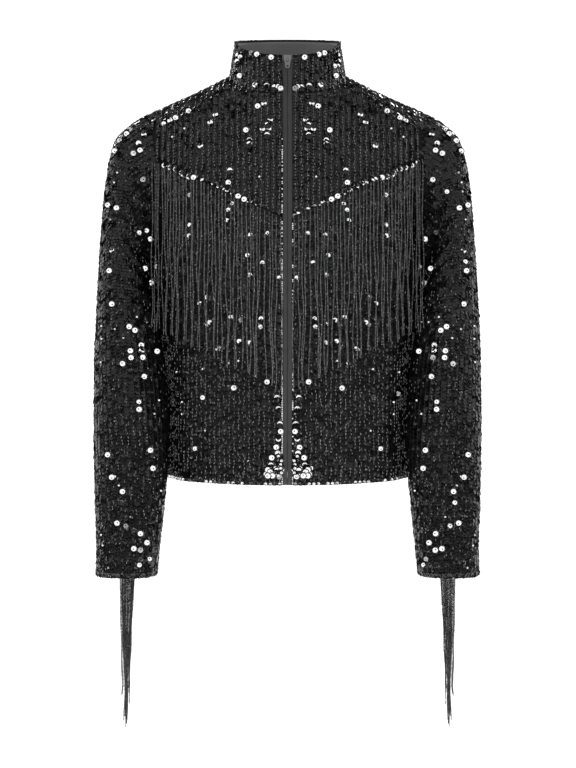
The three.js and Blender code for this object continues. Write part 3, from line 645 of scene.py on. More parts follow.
def cloth_wall(name, points, normals, thickness=CLOTH, closed=False):
    """A wall of cloth from its outer face inwards."""
    bm = grid_faces(points, closed)
    bmesh.ops.recalc_face_normals(bm, faces=bm.faces)
    i, j = points.shape[0] // 2, points.shape[1] // 2
    nearest = min(bm.faces, key=lambda f: (f.calc_center_median() - Vector(points[i, j] * MM)).length)
    if nearest.normal.dot(Vector(normals[i, j])) < 0:
        bmesh.ops.reverse_faces(bm, faces=bm.faces)
    bmesh.ops.solidify(bm, geom=list(bm.faces), thickness=thickness * MM)
    return finished_mesh(name, bm)


def sheet_area(points):
    across = np.diff(points, axis=1)[:-1]
    up = np.diff(points, axis=0)[:, :-1]
    return np.linalg.norm(np.cross(across, up), axis=-1).sum() * MM * MM


def cloth_panel(name, surface, closed=False, every=2):
    """A panel from every second row and column of its surface, in place of the solid of that name."""
    rows, columns = [np.unique(np.r_[0:n:every, n - 1]) for n in surface.points.shape[:2]]
    pick = np.ix_(rows, columns)
    mesh = cloth_wall(f"cloth_{name}", surface.points[pick], surface.normals[pick], closed=closed)
    piece = link(f"cloth_{name}", mesh, net_ground)
    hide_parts(name)
    return piece, sheet_area(surface.points)


def both_halves(surface):
    """A half that starts at the centre line joined with its mirror image, from right to left."""
    flip = surface.mirrored()
    return Surface.made(
        np.concatenate([flip.points[:, :0:-1], surface.points], axis=1),
        np.concatenate([flip.normals[:, :0:-1], surface.normals], axis=1),
    )


panel_area = {}
cloth = {}
for side, sign in SIDES.items():
    for name, surface in (("front", front), ("yoke", yoke), ("sleeve", sleeve)):
        own = surface if sign > 0 else surface.mirrored()
        full = f"{name}_{side}"
        cloth[full], panel_area[full] = cloth_panel(full, own, closed=name == "sleeve")
cloth["back"], panel_area["back"] = cloth_panel("back", both_halves(back))
whole_collar = both_halves(collar.reversed())
cloth["collar"], panel_area["collar"] = cloth_panel("collar", whole_collar)
print({name: round(area, 4) for name, area in panel_area.items()})

# %% [markdown]
# ## Sequins
# They are sewn on in strings that run down each panel, every string a set distance from the next, and lap over each
# other like roof tiles. One cupped disc is modelled, and each string is walked by its length to give every copy a
# place and a direction. All the copies on a panel are one mesh. Small puckers in the net turn the discs of a string
# a little from side to side, more on the sleeves and the lower fronts, and no two discs sit quite alike.

# %% One sequin
STRING_PITCH = 7.5
LAP_PITCH = 4.1
CUP_DEPTH = 0.35
LIFT = 0.55  # from the cloth's face to a sequin's middle
rng = np.random.default_rng(11)


def face_towards(bm, direction):
    """Turns every face round if together they look away from a direction."""
    if sum((f.normal for f in bm.faces), Vector()).dot(Vector(direction)) < 0:
        bmesh.ops.reverse_faces(bm, faces=bm.faces)


def template(make, outward=None):
    """The points and triangles of a small shape, to copy many times."""
    bm = bmesh.new()
    make(bm)
    bmesh.ops.triangulate(bm, faces=bm.faces)
    bmesh.ops.recalc_face_normals(bm, faces=bm.faces)
    bm.normal_update()
    if outward is not None:
        face_towards(bm, outward)
    bm.verts.index_update()
    points = np.array([v.co[:] for v in bm.verts])
    faces = np.array([[v.index for v in f.verts] for f in bm.faces])
    bm.free()
    return points, faces


def cup_sequin(bm):
    bmesh.ops.create_circle(bm, segments=10, radius=SEQUIN_RADIUS, cap_ends=True, cap_tris=True)
    min(bm.verts, key=lambda v: v.co.length).co.z = -CUP_DEPTH


def holed_sequin(bm):
    """A flatter disc with its hole cut, for the few that are seen whole."""
    bmesh.ops.create_circle(bm, segments=16, radius=SEQUIN_RADIUS, cap_ends=True)
    bmesh.ops.inset_individual(bm, faces=bm.faces[:], thickness=SEQUIN_RADIUS * (1 - HOLE_SHARE))
    middle = min(bm.faces, key=lambda f: f.calc_area())
    bmesh.ops.translate(bm, verts=middle.verts, vec=(HOLE_OFF, 0, 0))
    bmesh.ops.delete(bm, geom=[middle], context="FACES_ONLY")


DISC = template(cup_sequin, outward=(0, 0, 1))
HOLED = template(holed_sequin, outward=(0, 0, 1))
print("sequin:", len(DISC[1]), "faces, holed:", len(HOLED[1]))


# %% Strings of sequins
class Sewn:
    """Places on cloth, each with its outward normal, the way its string runs down and its pucker."""

    NAMES = ("places", "normals", "down", "pucker")

    def __init__(self, *values):
        for name, value in zip(self.NAMES, values):
            setattr(self, name, value)

    def mirrored(self):
        return Sewn(self.places * MIRROR, self.normals * MIRROR, self.down * MIRROR, -self.pucker)

    def along_cloth(self):
        """The ways down and across at each place, level with the cloth there."""
        down = unit(self.down - self.normals * np.sum(self.down * self.normals, axis=1, keepdims=True))
        return down, np.cross(down, self.normals)

    def some(self, picked):
        return Sewn(*(getattr(self, name)[picked] for name in self.NAMES))

    @classmethod
    def together(cls, parts):
        return cls(*(np.concatenate([getattr(p, name) for p in parts]) for name in cls.NAMES))


PUCKER_LENGTH = (18, 34)  # of one pucker along a string
NARROWEST_EDGE = 1.2  # a string needs this much cloth beyond it


def one_string(surface, stretch, columns, edge, lap, upwards):
    line, _ = surface.at(stretch.astype(float), columns)
    run = lengths_along(line)
    room = run[-1] - 2 * edge
    if room < lap:
        return None
    count = int(room / lap) + 1
    at = edge + (room - (count - 1) * lap) * rng.random() + np.arange(count) * lap
    row_at = np.interp(at, run, stretch)
    column_at = np.interp(at, run, columns)
    places, normals = surface.at(row_at, column_at)
    ahead, _ = surface.at(np.minimum(row_at + 0.5, len(surface.points) - 1), column_at)
    behind, _ = surface.at(np.maximum(row_at - 0.5, 0), column_at)
    wave = at / rng.uniform(*PUCKER_LENGTH) * 2 * math.pi + rng.random() * 2 * math.pi
    return Sewn(places, normals, unit(behind - ahead) * upwards, np.sin(wave))


def strings_down(surface, first, pitch=STRING_PITCH, lap=LAP_PITCH, edge=3.2, upwards=1, upright=False):
    """Strings at set distances from the grid's first column, along the cloth or, for upright ones, straight across.

    upwards is -1 where the rows run down."""
    steps = np.diff(surface.points, axis=1)
    steps = np.abs(steps[..., 0]) if upright else np.linalg.norm(steps, axis=-1)
    widths = np.concatenate([np.zeros((len(steps), 1)), np.cumsum(steps, axis=1)], axis=1)
    sewn = []
    for distance in np.arange(first, widths[:, -1].max(), pitch):
        rows = np.flatnonzero(widths[:, -1] >= distance + NARROWEST_EDGE)
        for stretch in np.split(rows, np.flatnonzero(np.diff(rows) > 1) + 1):
            if len(stretch) > 2:
                columns = [np.interp(distance, widths[r], np.arange(widths.shape[1])) for r in stretch]
                sewn.append(one_string(surface, stretch, np.array(columns), edge, lap, upwards))
    return Sewn.together([s for s in sewn if s is not None])


# %% Copies as one mesh
def joined_copies(name, shape, centres, axes, shades):
    """Copies of one shape as one mesh. axes holds each copy's own x, y and z directions as columns."""
    points, faces = shape
    count = len(centres)
    placed = centres[:, None, :] + np.einsum("nij,pj->npi", axes, points)
    corners = faces[None] + (np.arange(count) * len(points))[:, None, None]
    mesh = bpy.data.meshes.new(name)
    mesh.vertices.add(count * len(points))
    mesh.vertices.foreach_set("co", (placed * MM).reshape(-1))
    mesh.loops.add(corners.size)
    mesh.loops.foreach_set("vertex_index", corners.reshape(-1).astype(np.int32))
    mesh.polygons.add(count * len(faces))
    mesh.polygons.foreach_set("loop_start", np.arange(0, corners.size, 3, dtype=np.int32))
    mesh.update(calc_edges=True)
    mesh.polygons.foreach_set("use_smooth", np.ones(len(mesh.polygons), dtype=bool))
    shade = mesh.attributes.new("shade", "FLOAT", "POINT")
    shade.data.foreach_set("value", np.repeat(shades, len(points)).astype(np.float32))
    disc = (points[:, :2] / (2 * SEQUIN_RADIUS) + 0.5)[faces].reshape(-1, 2)
    disc_map = mesh.uv_layers.new(name="disc")
    disc_map.data.foreach_set("uv", np.tile(disc, (count, 1)).reshape(-1).astype(np.float32))
    mesh.validate()
    return mesh


def turned_axes(facing, down):
    """Each copy's directions: z is where it faces, and it is spun by chance about that."""
    x = unit(np.cross(down, facing))
    y = np.cross(facing, x)
    spin = (rng.random(len(facing)) * 2 * math.pi)[:, None]
    x = x * np.cos(spin) + y * np.sin(spin)
    return np.stack([x, np.cross(facing, x), facing], axis=-1)


LEAN = math.radians(9)  # each disc's foot lies on the next one down, so it leans up by this
JITTER = math.radians(6.5)
UPWARD_EASES, LEAST_LEAN = 1.2, -0.3  # where the cloth faces up the discs lean less, down to this share


def sequin_mesh(name, sewn, pucker=0.0, lean=LEAN, jitter=JITTER, lift=LIFT, roll=0.0):
    count = len(sewn.places)
    down, across = sewn.along_cloth()
    upright = np.clip(1 - UPWARD_EASES * sewn.normals[:, 2], LEAST_LEAN, 1) if lean == LEAN else 1
    tilt = lean * upright + rng.normal(0, jitter, count)
    turn = roll + rng.normal(0, jitter, count) + sewn.pucker * pucker
    facing = sewn.normals * np.cos(tilt)[:, None] - down * np.sin(tilt)[:, None]
    facing = unit(facing * np.cos(turn)[:, None] + across * np.sin(turn)[:, None])
    centres = sewn.places + sewn.normals * lift
    return joined_copies(name, DISC, centres, turned_axes(facing, down), rng.random(count))


# %% [markdown]
# Between one hole and the next the thread lies over the disc as a short stitch. A four-sided rod is enough for it at
# this size. Not every stitch shows: some lie slack under the next disc down, and few are seen at the shoulder, under
# the fringe and on the sleeves.

# %% Stitches
STITCH_RADIUS, STITCH_LENGTH = 0.38, 2.5
STITCH_LIFT, STITCH_STRAY, STITCH_SLANT = 1.5, 0.3, 0.25
STITCHES_SHOWN = {"front": 0.6, "yoke": 0.9, "back": 0.6, "collar": 0.7, "sleeve": 0.14}
SHOWN_UNDER_FRINGE = 0.12
HIDDEN_AT_SHOULDER = 0.8
FRINGE_LENGTH = 222
SHOULDER_X, SHOULDER_Z = (0, 60, 100), (-10, -48, -64)  # where the yoke turns back to the shoulder
SHOULDER_TURN = 24  # and the height over which it does


def lying_rod(bm, segments, radius, length, about, cap_ends=False):
    """A short rod on its side: turned about X it lies along y, and about Y along x."""
    bmesh.ops.create_cone(bm, segments=segments, radius1=radius, radius2=radius, depth=length, cap_ends=cap_ends)
    bmesh.ops.rotate(bm, cent=(0, 0, 0), matrix=Matrix.Rotation(math.radians(90), 3, about), verts=bm.verts)


STITCH = template(lambda bm: lying_rod(bm, 4, STITCH_RADIUS, STITCH_LENGTH, "X"))


def under_fringe(name, places):
    """Where the fringe hangs over the lower front."""
    seam_z = np.interp(np.abs(places[:, 0]), front.points[-1, :, 0], front.points[-1, :, 2])
    return (places[:, 2] > seam_z - FRINGE_LENGTH) & ("front" in name)


def on_shoulder(name, places):
    """0 on the yoke's flat part and 1 at the shoulder, where few stitches show."""
    shoulder_z = np.interp(np.abs(places[:, 0]), SHOULDER_X, SHOULDER_Z)
    return np.clip((places[:, 2] - shoulder_z) / SHOULDER_TURN + 0.5, 0, 1) * ("yoke" in name)


def stitch_mesh(name, sewn, shown):
    """Stitches on a share of the discs; the rest lie slack under the next one down."""
    share = np.where(under_fringe(name, sewn.places), SHOWN_UNDER_FRINGE, shown)
    share = share * (1 - HIDDEN_AT_SHOULDER * on_shoulder(name, sewn.places))
    sewn = sewn.some(rng.random(len(sewn.places)) < share)
    down, across = sewn.along_cloth()
    slant = rng.normal(0, STITCH_SLANT, (len(down), 1))
    down, across = down * np.cos(slant) + across * np.sin(slant), across * np.cos(slant) - down * np.sin(slant)
    axes = np.stack([across, down, sewn.normals], axis=-1)
    strayed = rng.normal(0, STITCH_STRAY, (2, len(down), 1))
    centres = sewn.places + sewn.normals * STITCH_LIFT
    centres = centres + down * (LAP_PITCH / 2 + strayed[0]) + axes[:, :, 0] * strayed[1]
    return joined_copies(name, STITCH, centres, axes, rng.random(len(centres)))


# %% Sew them on
LOWER_FRONT_PITCH = 6.4  # strings are closer together on the lower fronts
half_ring = RING_POINTS // 2
strings = {
    "front": strings_down(front, STRING_PITCH * 0.5, pitch=LOWER_FRONT_PITCH),
    "yoke": strings_down(yoke, STRING_PITCH * 0.5, upright=True),
    "back": strings_down(back, STRING_PITCH * 0.5),
    "collar": strings_down(collar, STRING_PITCH * 0.5),
    "sleeve": Sewn.together([
        strings_down(sleeve.half(slice(0, half_ring + 1)), STRING_PITCH * 0.5, upwards=-1),
        strings_down(sleeve.half(slice(RING_POINTS, half_ring - 1, -1)), STRING_PITCH * 0.5, upwards=-1),
    ]),
}
PUCKER = {"front": 9, "yoke": 2, "back": 5, "collar": 3, "sleeve": 10}  # degrees from side to side


def dressed(panel, sewn):
    """The sequins and the stitches of one panel."""
    kind = panel.split("_")[0]
    mesh = sequin_mesh(f"sequins_{panel}", sewn, math.radians(PUCKER[kind]))
    thread = stitch_mesh(f"stitches_{panel}", sewn, STITCHES_SHOWN[kind])
    return [link(mesh.name, mesh, sequin_film), link(thread.name, thread, painted_glint_thread)]


worn = {}
for side, sign in SIDES.items():
    for name in ("front", "yoke", "sleeve"):
        own = strings[name] if sign > 0 else strings[name].mirrored()
        worn[f"{name}_{side}"] = dressed(f"{name}_{side}", own)
for name in ("back", "collar"):
    worn[name] = dressed(name, Sewn.together([strings[name], strings[name].mirrored()]))
print("sequins:", sum(len(pieces[0].data.polygons) for pieces in worn.values()) // len(DISC[1]))

# %% [markdown]
# Along the cut edges the cloth is turned in, and the last row of sequins rolls over the fold with it. So the back's
# hem, the cuffs, the top of the collar and the side seams each get a row of their own that faces away from the panel.
# The fronts' own rows come after the lamps, because those are the ones that shine.


# %% Rows along the edges
def row_along(surface, row=None, column=None, rows=slice(None), pitch=4.6, margin=3.0, down=(0, 0, -1)):
    """One row of places along an edge of the grid, or along a row in between."""
    if column is None:
        spread = np.arange(surface.points.shape[1], dtype=float)
        points, normals = surface.at(np.full(len(spread), float(row)), spread)
    else:
        up = np.arange(surface.points.shape[0], dtype=float)[rows]
        points, normals = surface.at(up, np.full(len(up), float(column)))
    run = lengths_along(points)
    at = np.arange(margin, run[-1] - margin, pitch)
    below = np.tile(np.array(down, dtype=float), (len(at), 1))
    return Sewn(read_along(points, run, at), unit(read_along(normals, run, at)), below, np.zeros(len(at)))


EDGE_ROWS = {
    # panel, row, degrees of lean up from the cloth and of roll to the side, and how much higher it lies
    "hem_back": ("back", row_along(back, row=0.55), -13, 0, 0.3),
    "collar_top": ("collar", row_along(collar, row=15.0), -22, 0, 0.3),
    "cuff": ("sleeve", row_along(sleeve, row=198.8), -8, 0, 0.3),
    "side_seam": ("front", row_along(front, column=60, rows=slice(40, 72)), 4, 70, 2.4),
}
EDGE_JITTER = math.radians(8)
for edge, (panel, sewn, lean, roll, higher) in EDGE_ROWS.items():
    for side, own in (("left", sewn), ("right", sewn.mirrored())):
        turn = math.radians(roll) * -SIDES[side]
        mesh = sequin_mesh(f"sequins_{edge}_{side}", own, 0.0, math.radians(lean), EDGE_JITTER, LIFT + higher, turn)
        worn[panel if panel in worn else f"{panel}_{side}"].append(link(mesh.name, mesh, sequin_film))
print("edge rows:", list(EDGE_ROWS))

# %% [markdown]
# ## Lamps
# A plain studio: a dim room and an opal light table that bends up behind the jacket. One small bright lamp stands low
# in front for the sequins that catch it, and soft boxes at the sides are what the rims of the cups show.

# %% Studio
FLOOR_Z = cad_box[0][2] - 0.1
MIDDLE_Z = -0.35  # the jacket's middle, which the lamps stand round and point at
SWEEP_NEAR, SWEEP_BEND, SWEEP_RADIUS, SWEEP_TOP, SWEEP_HALF = -0.35, 5.6, 0.6, 1.4, 1.7
SWEEP_GLOW = 0.95


def pale_sweep():
    """A light table: a floor that bends up into a wall."""
    bend = [math.radians(a) for a in range(0, 91, 6)]
    profile = [(SWEEP_NEAR, FLOOR_Z)]
    profile += [
        (SWEEP_BEND + SWEEP_RADIUS * math.sin(a), FLOOR_Z + SWEEP_RADIUS * (1 - math.cos(a))) for a in bend
    ]
    profile.append((SWEEP_BEND + SWEEP_RADIUS, SWEEP_TOP))
    points = np.array([[(x, y, z) for x in (-SWEEP_HALF, SWEEP_HALF)] for y, z in profile]) / MM
    bm = grid_faces(points)
    bmesh.ops.recalc_face_normals(bm, faces=bm.faces)
    face_towards(bm, (0, 0, 1))
    return finished_mesh("light_table", bm)


white_acrylic, tree, shader = new_material(
    "opal_acrylic_light_table", Roughness=0.9, Emission_Strength=SWEEP_GLOW,
)
shader.inputs["Base Color"].default_value = linear("#f6f6f6")
shader.inputs["Emission Color"].default_value = linear("#ffffff")
sweep = bpy.data.objects.new("light_table", pale_sweep())
sweep.data.materials.append(white_acrylic)
bpy.context.scene.collection.objects.link(sweep)

ROOM_LIGHT = 0.05
world = bpy.data.worlds.new("dim_room")
world.use_nodes = True
world.node_tree.nodes["Background"].inputs["Color"].default_value = (1, 1, 1, 1)
world.node_tree.nodes["Background"].inputs["Strength"].default_value = ROOM_LIGHT
bpy.context.scene.world = world
bpy.context.scene.view_settings.view_transform = "Standard"


def softbox(name, place, size, brightness, target=(0, 0, MIDDLE_Z)):
    """A lamp of an even brightness, which is the light that a white surface must give to look the same."""
    light = bpy.data.lights.new(name, "AREA")
    light.shape = "RECTANGLE"
    light.size, light.size_y = size
    light.energy = brightness * math.pi * size[0] * size[1]
    lamp = bpy.data.objects.new(name, light)
    lamp.location = place
    lamp.rotation_euler = (Vector(target) - Vector(place)).to_track_quat("-Z", "Y").to_euler()
    bpy.context.scene.collection.objects.link(lamp)
    return lamp


def around(azimuth, elevation, distance):
    """A place round the jacket: 0 is in front and 90 at the wearer's left."""
    a, e = math.radians(azimuth), math.radians(elevation)
    return (
        distance * math.cos(e) * math.sin(a),
        -distance * math.cos(e) * math.cos(a),
        distance * math.sin(e) + MIDDLE_Z,
    )


# each with its place and size in metres and its brightness, where 1 shows as plain white
KEY_PLACE = (-0.08, -1.6, -1.4)
softbox("key_lamp", KEY_PLACE, (0.44, 0.44), 22, target=(0, 0, -0.3))
softbox("front_box", around(0, 40, 3.0), (3.4, 2.5), 0.46)
softbox("top_box", around(0, 86, 2.4), (2.6, 2.2), 0.5)
for side, sign in SIDES.items():
    softbox(f"strip_{side}", around(24 * sign, 6, 3.2), (0.16, 2.4), 2.6)
    softbox(f"side_box_{side}", around(80 * sign, 32, 3.0), (2.2, 2.4), 0.8)
    softbox(f"rear_box_{side}", around(128 * sign, 12, 2.6), (1.2, 2.2), 1.2)
    softbox(f"rear_lamp_{side}", around(150 * sign, 36, 2.6), (0.4, 0.5), 14)

# %% [markdown]
# A few sequins have come free on their threads and lie open to the lamp. In the photo they are the bright full discs,
# and the crescents are discs half under the one above. Each is placed where the camera sees it, on the cloth
# behind that point, and faces halfway between the camera and the lamp. The places were read off an enlarged
# photo. They are positions only, and a disc's brightness comes from the lamp.

# %% Sequins that catch the lamp
# x and z in millimetres as the camera sees them at the jacket's middle, for the wearer's right
OPEN_SPOTS = [
    (-130, -47), (-147, -56), (-197, -89), (-195, -98), (-204, -102), (-221, -86), (-227, -99), (-208, -72),
    (-212, -77), (-39, -40), (-192, -136), (-236, -170), (-226, -174), (-61, 1), (-9, -16), (-12, -14),
    (-63, 28), (-64, 20), (-39, 29), (-46, 31), (-21, 25), (-123, -133), (-65, -158), (-57, -162), (-54, -71),
    (-78, -140), (-184, -214), (-192, -254), (-184, -273), (-235, -257), (-211, -331), (-204, -336),
    (-196, -356), (-209, -363), (-208, -372), (-194, -372), (-219, -380), (-176, -364), (-192, -397),
    (-232, -301), (-198, -441), (-184, -495), (-181, -519), (-238, -501), (-233, -531), (-219, -550),
    (-226, -592), (-197, -606), (-189, -618), (-205, -626), (-197, -628), (-71, -412), (-27, -404),
    (-21, -505), (-15, -491), (-27, -521), (-23, -527), (-28, -527), (-18, -527), (-24, -522),
    (-13, -499), (-11, -530), (-14, -522), (-9, -470),
]
SMILE_SPOTS = [
    (-95, -51), (-102, -61), (-155, -59), (-191, -70), (-190, -77), (-115, -92), (-31, -36), (-23, -57),
    (-162, -117), (-147, -122), (-130, -132), (-90, -145), (-79, -150), (-39, -169), (-42, -11),
    (-232, -230), (-195, -363), (-12, -480), (-13, -515), (-154, -120), (-139, -127), (-33, -69), (-25, -69),
    (-137, -129), (-97, -141), (-72, -154), (-50, -165), (-9, -508), (-9, -515), (-8, -521), (-11, -527),
]
FROWN_SPOTS = [
    (-27, -64), (-27, -77), (-50, -84), (-50, -89), (-76, -124), (-20, -530), (-13, -500), (-12, -440),
    (-10, -460), (-14, -425), (-17, -14), (-27, -12), (-22, -515), (-16, -520),
]
DULL_SPOTS = [
    (-163, -63), (-211, -152), (-221, -565), (-215, -596), (-205, -602), (-185, -640), (-182, -648), (-198, -648),
    (-234, -245), (-238, -280), (-188, -203), (-198, -206), (-112, -425), (-122, -493), (-198, -431), (-144, -420),
    (-61, 26), (-64, 14), (-60, 14), (-30, -519), (-40, -527),
]
GLINT_SPOTS = [
    (-146, -391), (-139, -431), (-139, -447), (-156, -450), (-112, -387), (-94, -361), (-65, -376), (-78, -379),
    (-109, -469), (-188, -325), (-179, -325), (-201, -318), (-229, -334), (-218, -346), (-172, -429), (-178, -447),
    (-170, -549), (-229, -530), (-224, -542), (-209, -584), (-246, -347), (-246, -330), (-247, -378), (-245, -622),
    (-247, -608), (-238, -652), (-37, -132), (-152, -80), (-136, -69), (-130, -48), (-234, -189), (-225, -127),
    (-229, -140), (-230, -152),
]
HEM_PATCH_SPOTS = [(-26, -529), (-20, -529), (-23, -524), (-26, -521)]
ZIP_FOOT_SPOTS = [(-8, -509), (-9, -514), (-9, -519), (-8, -525), (-12, -503), (-12, -529)]
FRINGED_SPOTS = [
    (-129, -156), (-129, -196), (-130, -210), (-78, -176), (-80, -190), (-73, -168), (-49, -209), (-26, -207),
    (-53, -236), (-33, -246), (-50, -262), (-11, -266), (-5, -203), (-174, -234), (-173, -251), (-182, -273),
    (-107, -292), (-103, -325), (-106, -328), (-62, -322), (-35, -320), (-36, -331), (-75, -318), (-50, -352),
    (-116, -300), (-90, -360), (-64, -350),
]


# %% What the camera sees on the cloth
def cloth_tree(names):
    """The cloth's faces, for finding what lies behind a place."""
    points, faces = [], []
    for name in names:
        mesh = cloth[name].data
        faces += [[i + len(points) for i in face.vertices] for face in mesh.polygons]
        points += [v.co.copy() for v in mesh.vertices]
    return BVHTree.FromPolygons(points, faces)


all_cloth = cloth_tree(cloth)


def seen_on_cloth(spots):
    """What the camera sees at each spot, on both sides of the jacket."""
    places, normals = [], []
    for x, z in spots + [(1 - x, z) for x, z in spots]:
        way = (Vector((x, 0, z)) * MM - camera.location).normalized()
        place, normal, _, _ = all_cloth.ray_cast(camera.location, way)
        if place is not None:
            places.append(place / MM)
            normals.append(normal if normal.dot(way) < 0 else -normal)
    return np.array(places), np.array(normals)


def lamp_catching(name, where, lift, off, size):
    """Holed sequins that face halfway from the camera to the lamp, each turned off that by up to some degrees."""
    places, normals = where
    to_camera = unit(np.array(camera.location) / MM - places)
    to_lamp = unit(np.array(KEY_PLACE) / MM - places)
    facing = unit(to_camera + to_lamp)
    side = unit(np.cross(facing, np.array([0.0, 0, 1])))
    angle = rng.random(len(places))[:, None] * 2 * math.pi
    away = side * np.cos(angle) + np.cross(facing, side) * np.sin(angle)
    facing = unit(facing + away * np.tan(np.radians(off * rng.random(len(places))))[:, None])
    centres = places + normals * lift
    axes = turned_axes(facing, np.array([[0, 0, -1.0]])) * size
    mesh = joined_copies(name, HOLED, centres, axes, rng.random(len(places)))
    link(name, mesh, sequin_film)


COVER_LIFT, COVER_SHIFT = 3.6, 2.6


def covering(name, spots, shift):
    """Dark discs that lie over part of the lamp-catching ones, shifted along the string."""
    places, normals = seen_on_cloth(spots)
    down = np.tile(np.array([0, 0, -1.0]), (len(places), 1))
    over = Sewn(places - down * shift, normals, down, np.zeros(len(places)))
    mesh = sequin_mesh(name, over, lift=COVER_LIFT)
    link(name, mesh, sequin_film)


GLINT_SIZE = 0.42  # only a part of such a disc shows, so it is modelled small
CATCHING_SPOTS = {
    # spots, lift off the cloth, most degrees off the lamp, size
    "open": (OPEN_SPOTS, 3.0, 3.8, 1.15),
    "smile": (SMILE_SPOTS, 1.8, 2.5, 1.15),
    "frown": (FROWN_SPOTS, 1.8, 2.5, 1.15),
    "dull": (DULL_SPOTS, 2.0, 9, 1.0),
    "glint": (GLINT_SPOTS, 1.7, 4, GLINT_SIZE),
    "behind_fringe": (FRINGED_SPOTS, 0.9, 4, 1.0),
    "hem_patch": (HEM_PATCH_SPOTS, 4.4, 2, 1.15),
    "zip_foot": (ZIP_FOOT_SPOTS, 4.0, 5, 0.6),
}
for name, (spots, lift, off, size) in CATCHING_SPOTS.items():
    lamp_catching(f"sequins_{name}", seen_on_cloth(spots), lift, off, size)
covering("sequins_over_smile", SMILE_SPOTS, COVER_SHIFT)
covering("sequins_over_frown", FROWN_SPOTS, -COVER_SHIFT)
print("lamp-catching spots a side:", {name: len(row[0]) for name, row in CATCHING_SPOTS.items()})

# %% [markdown]
# The rows on the front's own folds catch the lamp as well: along the hem, under the yoke and, cut small by the seam,
# down the fold beside the zip.

# %% Lamp-catching rows
CUT_SMALL = 0.3
FOLD_OFF = np.linspace(3, 7, 149)  # the fold turns off the lamp little by little towards the yoke
CATCHING_ROWS = {
    # row, lift, degrees off, size, and which sides it is on
    "hem": (row_along(front, row=0.45, pitch=6.0), 1.2, 8.5, 0.62, (1, -1)),
    "yoke_edge": (row_along(yoke, row=0, pitch=4.6), 1.0, 12, 0.95, (1, -1)),
    "fold_front_bright": (row_along(front, column=0, pitch=2.3), 0.9, FOLD_OFF, CUT_SMALL, (-1,)),
    "fold_yoke_bright": (row_along(yoke, column=0, rows=slice(0, 40), pitch=2.3), 0.9, 8, CUT_SMALL, (-1,)),
    "fold_front_faint": (row_along(front, column=0, pitch=2.3), 0.9, 11, CUT_SMALL, (1,)),
}
for name, (row, lift, off, size, signs) in CATCHING_ROWS.items():
    sides = [row if sign > 0 else row.mirrored() for sign in signs]
    where = np.concatenate([s.places for s in sides]), np.concatenate([s.normals for s in sides])
    lamp_catching(f"sequins_{name}", where, lift, np.resize(off, len(where[0])), size)
print("lamp-catching rows:", list(CATCHING_ROWS))

# %% [markdown]
# ## Bead fringe
# Real fringe comes as a trimming: strands of seed beads knotted to a narrow tape. The tape is sewn under the yoke's
# edge and the strands hang free in front of the lower front, a little unevenly. Each strand is a route that hangs
# straight down and lies off whatever cloth is behind it, and beads are threaded along it at their own length.

# %% Beads
BEAD_RADIUS = 1.0
BEAD_HEIGHT = 0.84  # as a share of the bead's width
BEAD_PITCH = 1.85
BEAD_UNEVEN, BEAD_TILT = 0.06, 0.12


def bead(bm):
    bmesh.ops.create_icosphere(bm, subdivisions=1, radius=BEAD_RADIUS)
    bmesh.ops.scale(bm, vec=(1, 1, BEAD_HEIGHT), verts=bm.verts)


BEAD = template(bead)


def threaded(name, routes, lustre=(0.3, 0.8), size=1.0):
    """Beads along each route, every strand starting at its own place in a bead. lustre is their range of colours,
    spread at random, and kept dark on the tassels as painted shade.
    """
    centres = []
    for route in routes:
        run = lengths_along(route)
        at = np.arange(rng.random() * BEAD_PITCH, run[-1], BEAD_PITCH)
        centres.append(read_along(route, run, at))
    centres = np.concatenate(centres)
    grown = rng.normal(1, BEAD_UNEVEN, len(centres))
    facing = unit(rng.normal(0, BEAD_TILT, (len(centres), 3)) + (0, 0, 1))
    axes = turned_axes(facing, np.array([[1.0, 0, 0]])) * grown[:, None, None] * size
    mesh = joined_copies(name, BEAD, centres, axes, rng.uniform(*lustre, len(centres)))
    return link(name, mesh, bead_glass)


# %% Routes of the strands
STRANDS = 38
STAND_OFF = 2.4
SWAY, SWAY_BEATS, FOOT_STRAY = 2.2, (2.4, 0.7), 2.0  # two beats out of step, so neighbours sway apart
WAVE_DEPTH, WAVE_LENGTHS = 1.3, (90, 200)
ROUTE_POINTS = 25
BESIDE = 3  # a strand keeps off the cloth this far to each side of it too
behind_fringe = cloth_tree(["front_left", "sleeve_left", "yoke_left"])


def cloth_y(x, z):
    """How far forward the cloth comes at a place; far back where there is none."""
    hit = behind_fringe.ray_cast(Vector((x, -1000, z)) * MM, Vector((0, 1, 0)))[0]
    return hit.y / MM if hit is not None else 1e6


def strand_route(root, number, length):
    foot = SWAY * math.sin(number * SWAY_BEATS[0]) * math.cos(number * SWAY_BEATS[1]) + rng.normal(0, FOOT_STRAY)
    wave, phase = rng.uniform(*WAVE_LENGTHS), rng.random() * 2 * math.pi
    forward = root[1]
    route = []
    for fall in np.linspace(0, length, ROUTE_POINTS):
        share = fall / length
        waved = WAVE_DEPTH * min(1, 2 * share) * math.sin(fall / wave * 2 * math.pi + phase)
        x = root[0] + foot * share**1.5 + waved
        z = root[2] - fall
        if fall > 0:
            forward = min(forward, min(cloth_y(x + dx, z) for dx in (-BESIDE, 0, BESIDE)) - STAND_OFF)
        route.append((x, forward, z))
    return np.array(route)


PAST_SEAM = 8.0  # the tape runs this far over the sleeve, and the strands with it
seam = front.points[-1]
past = seam[-1] + unit(seam[-1] - seam[-4]) * PAST_SEAM
seam = np.concatenate([seam, past[None]])
under_seam = np.concatenate([front.points[-5], (past + front.points[-5][-1] - seam[-2])[None]])


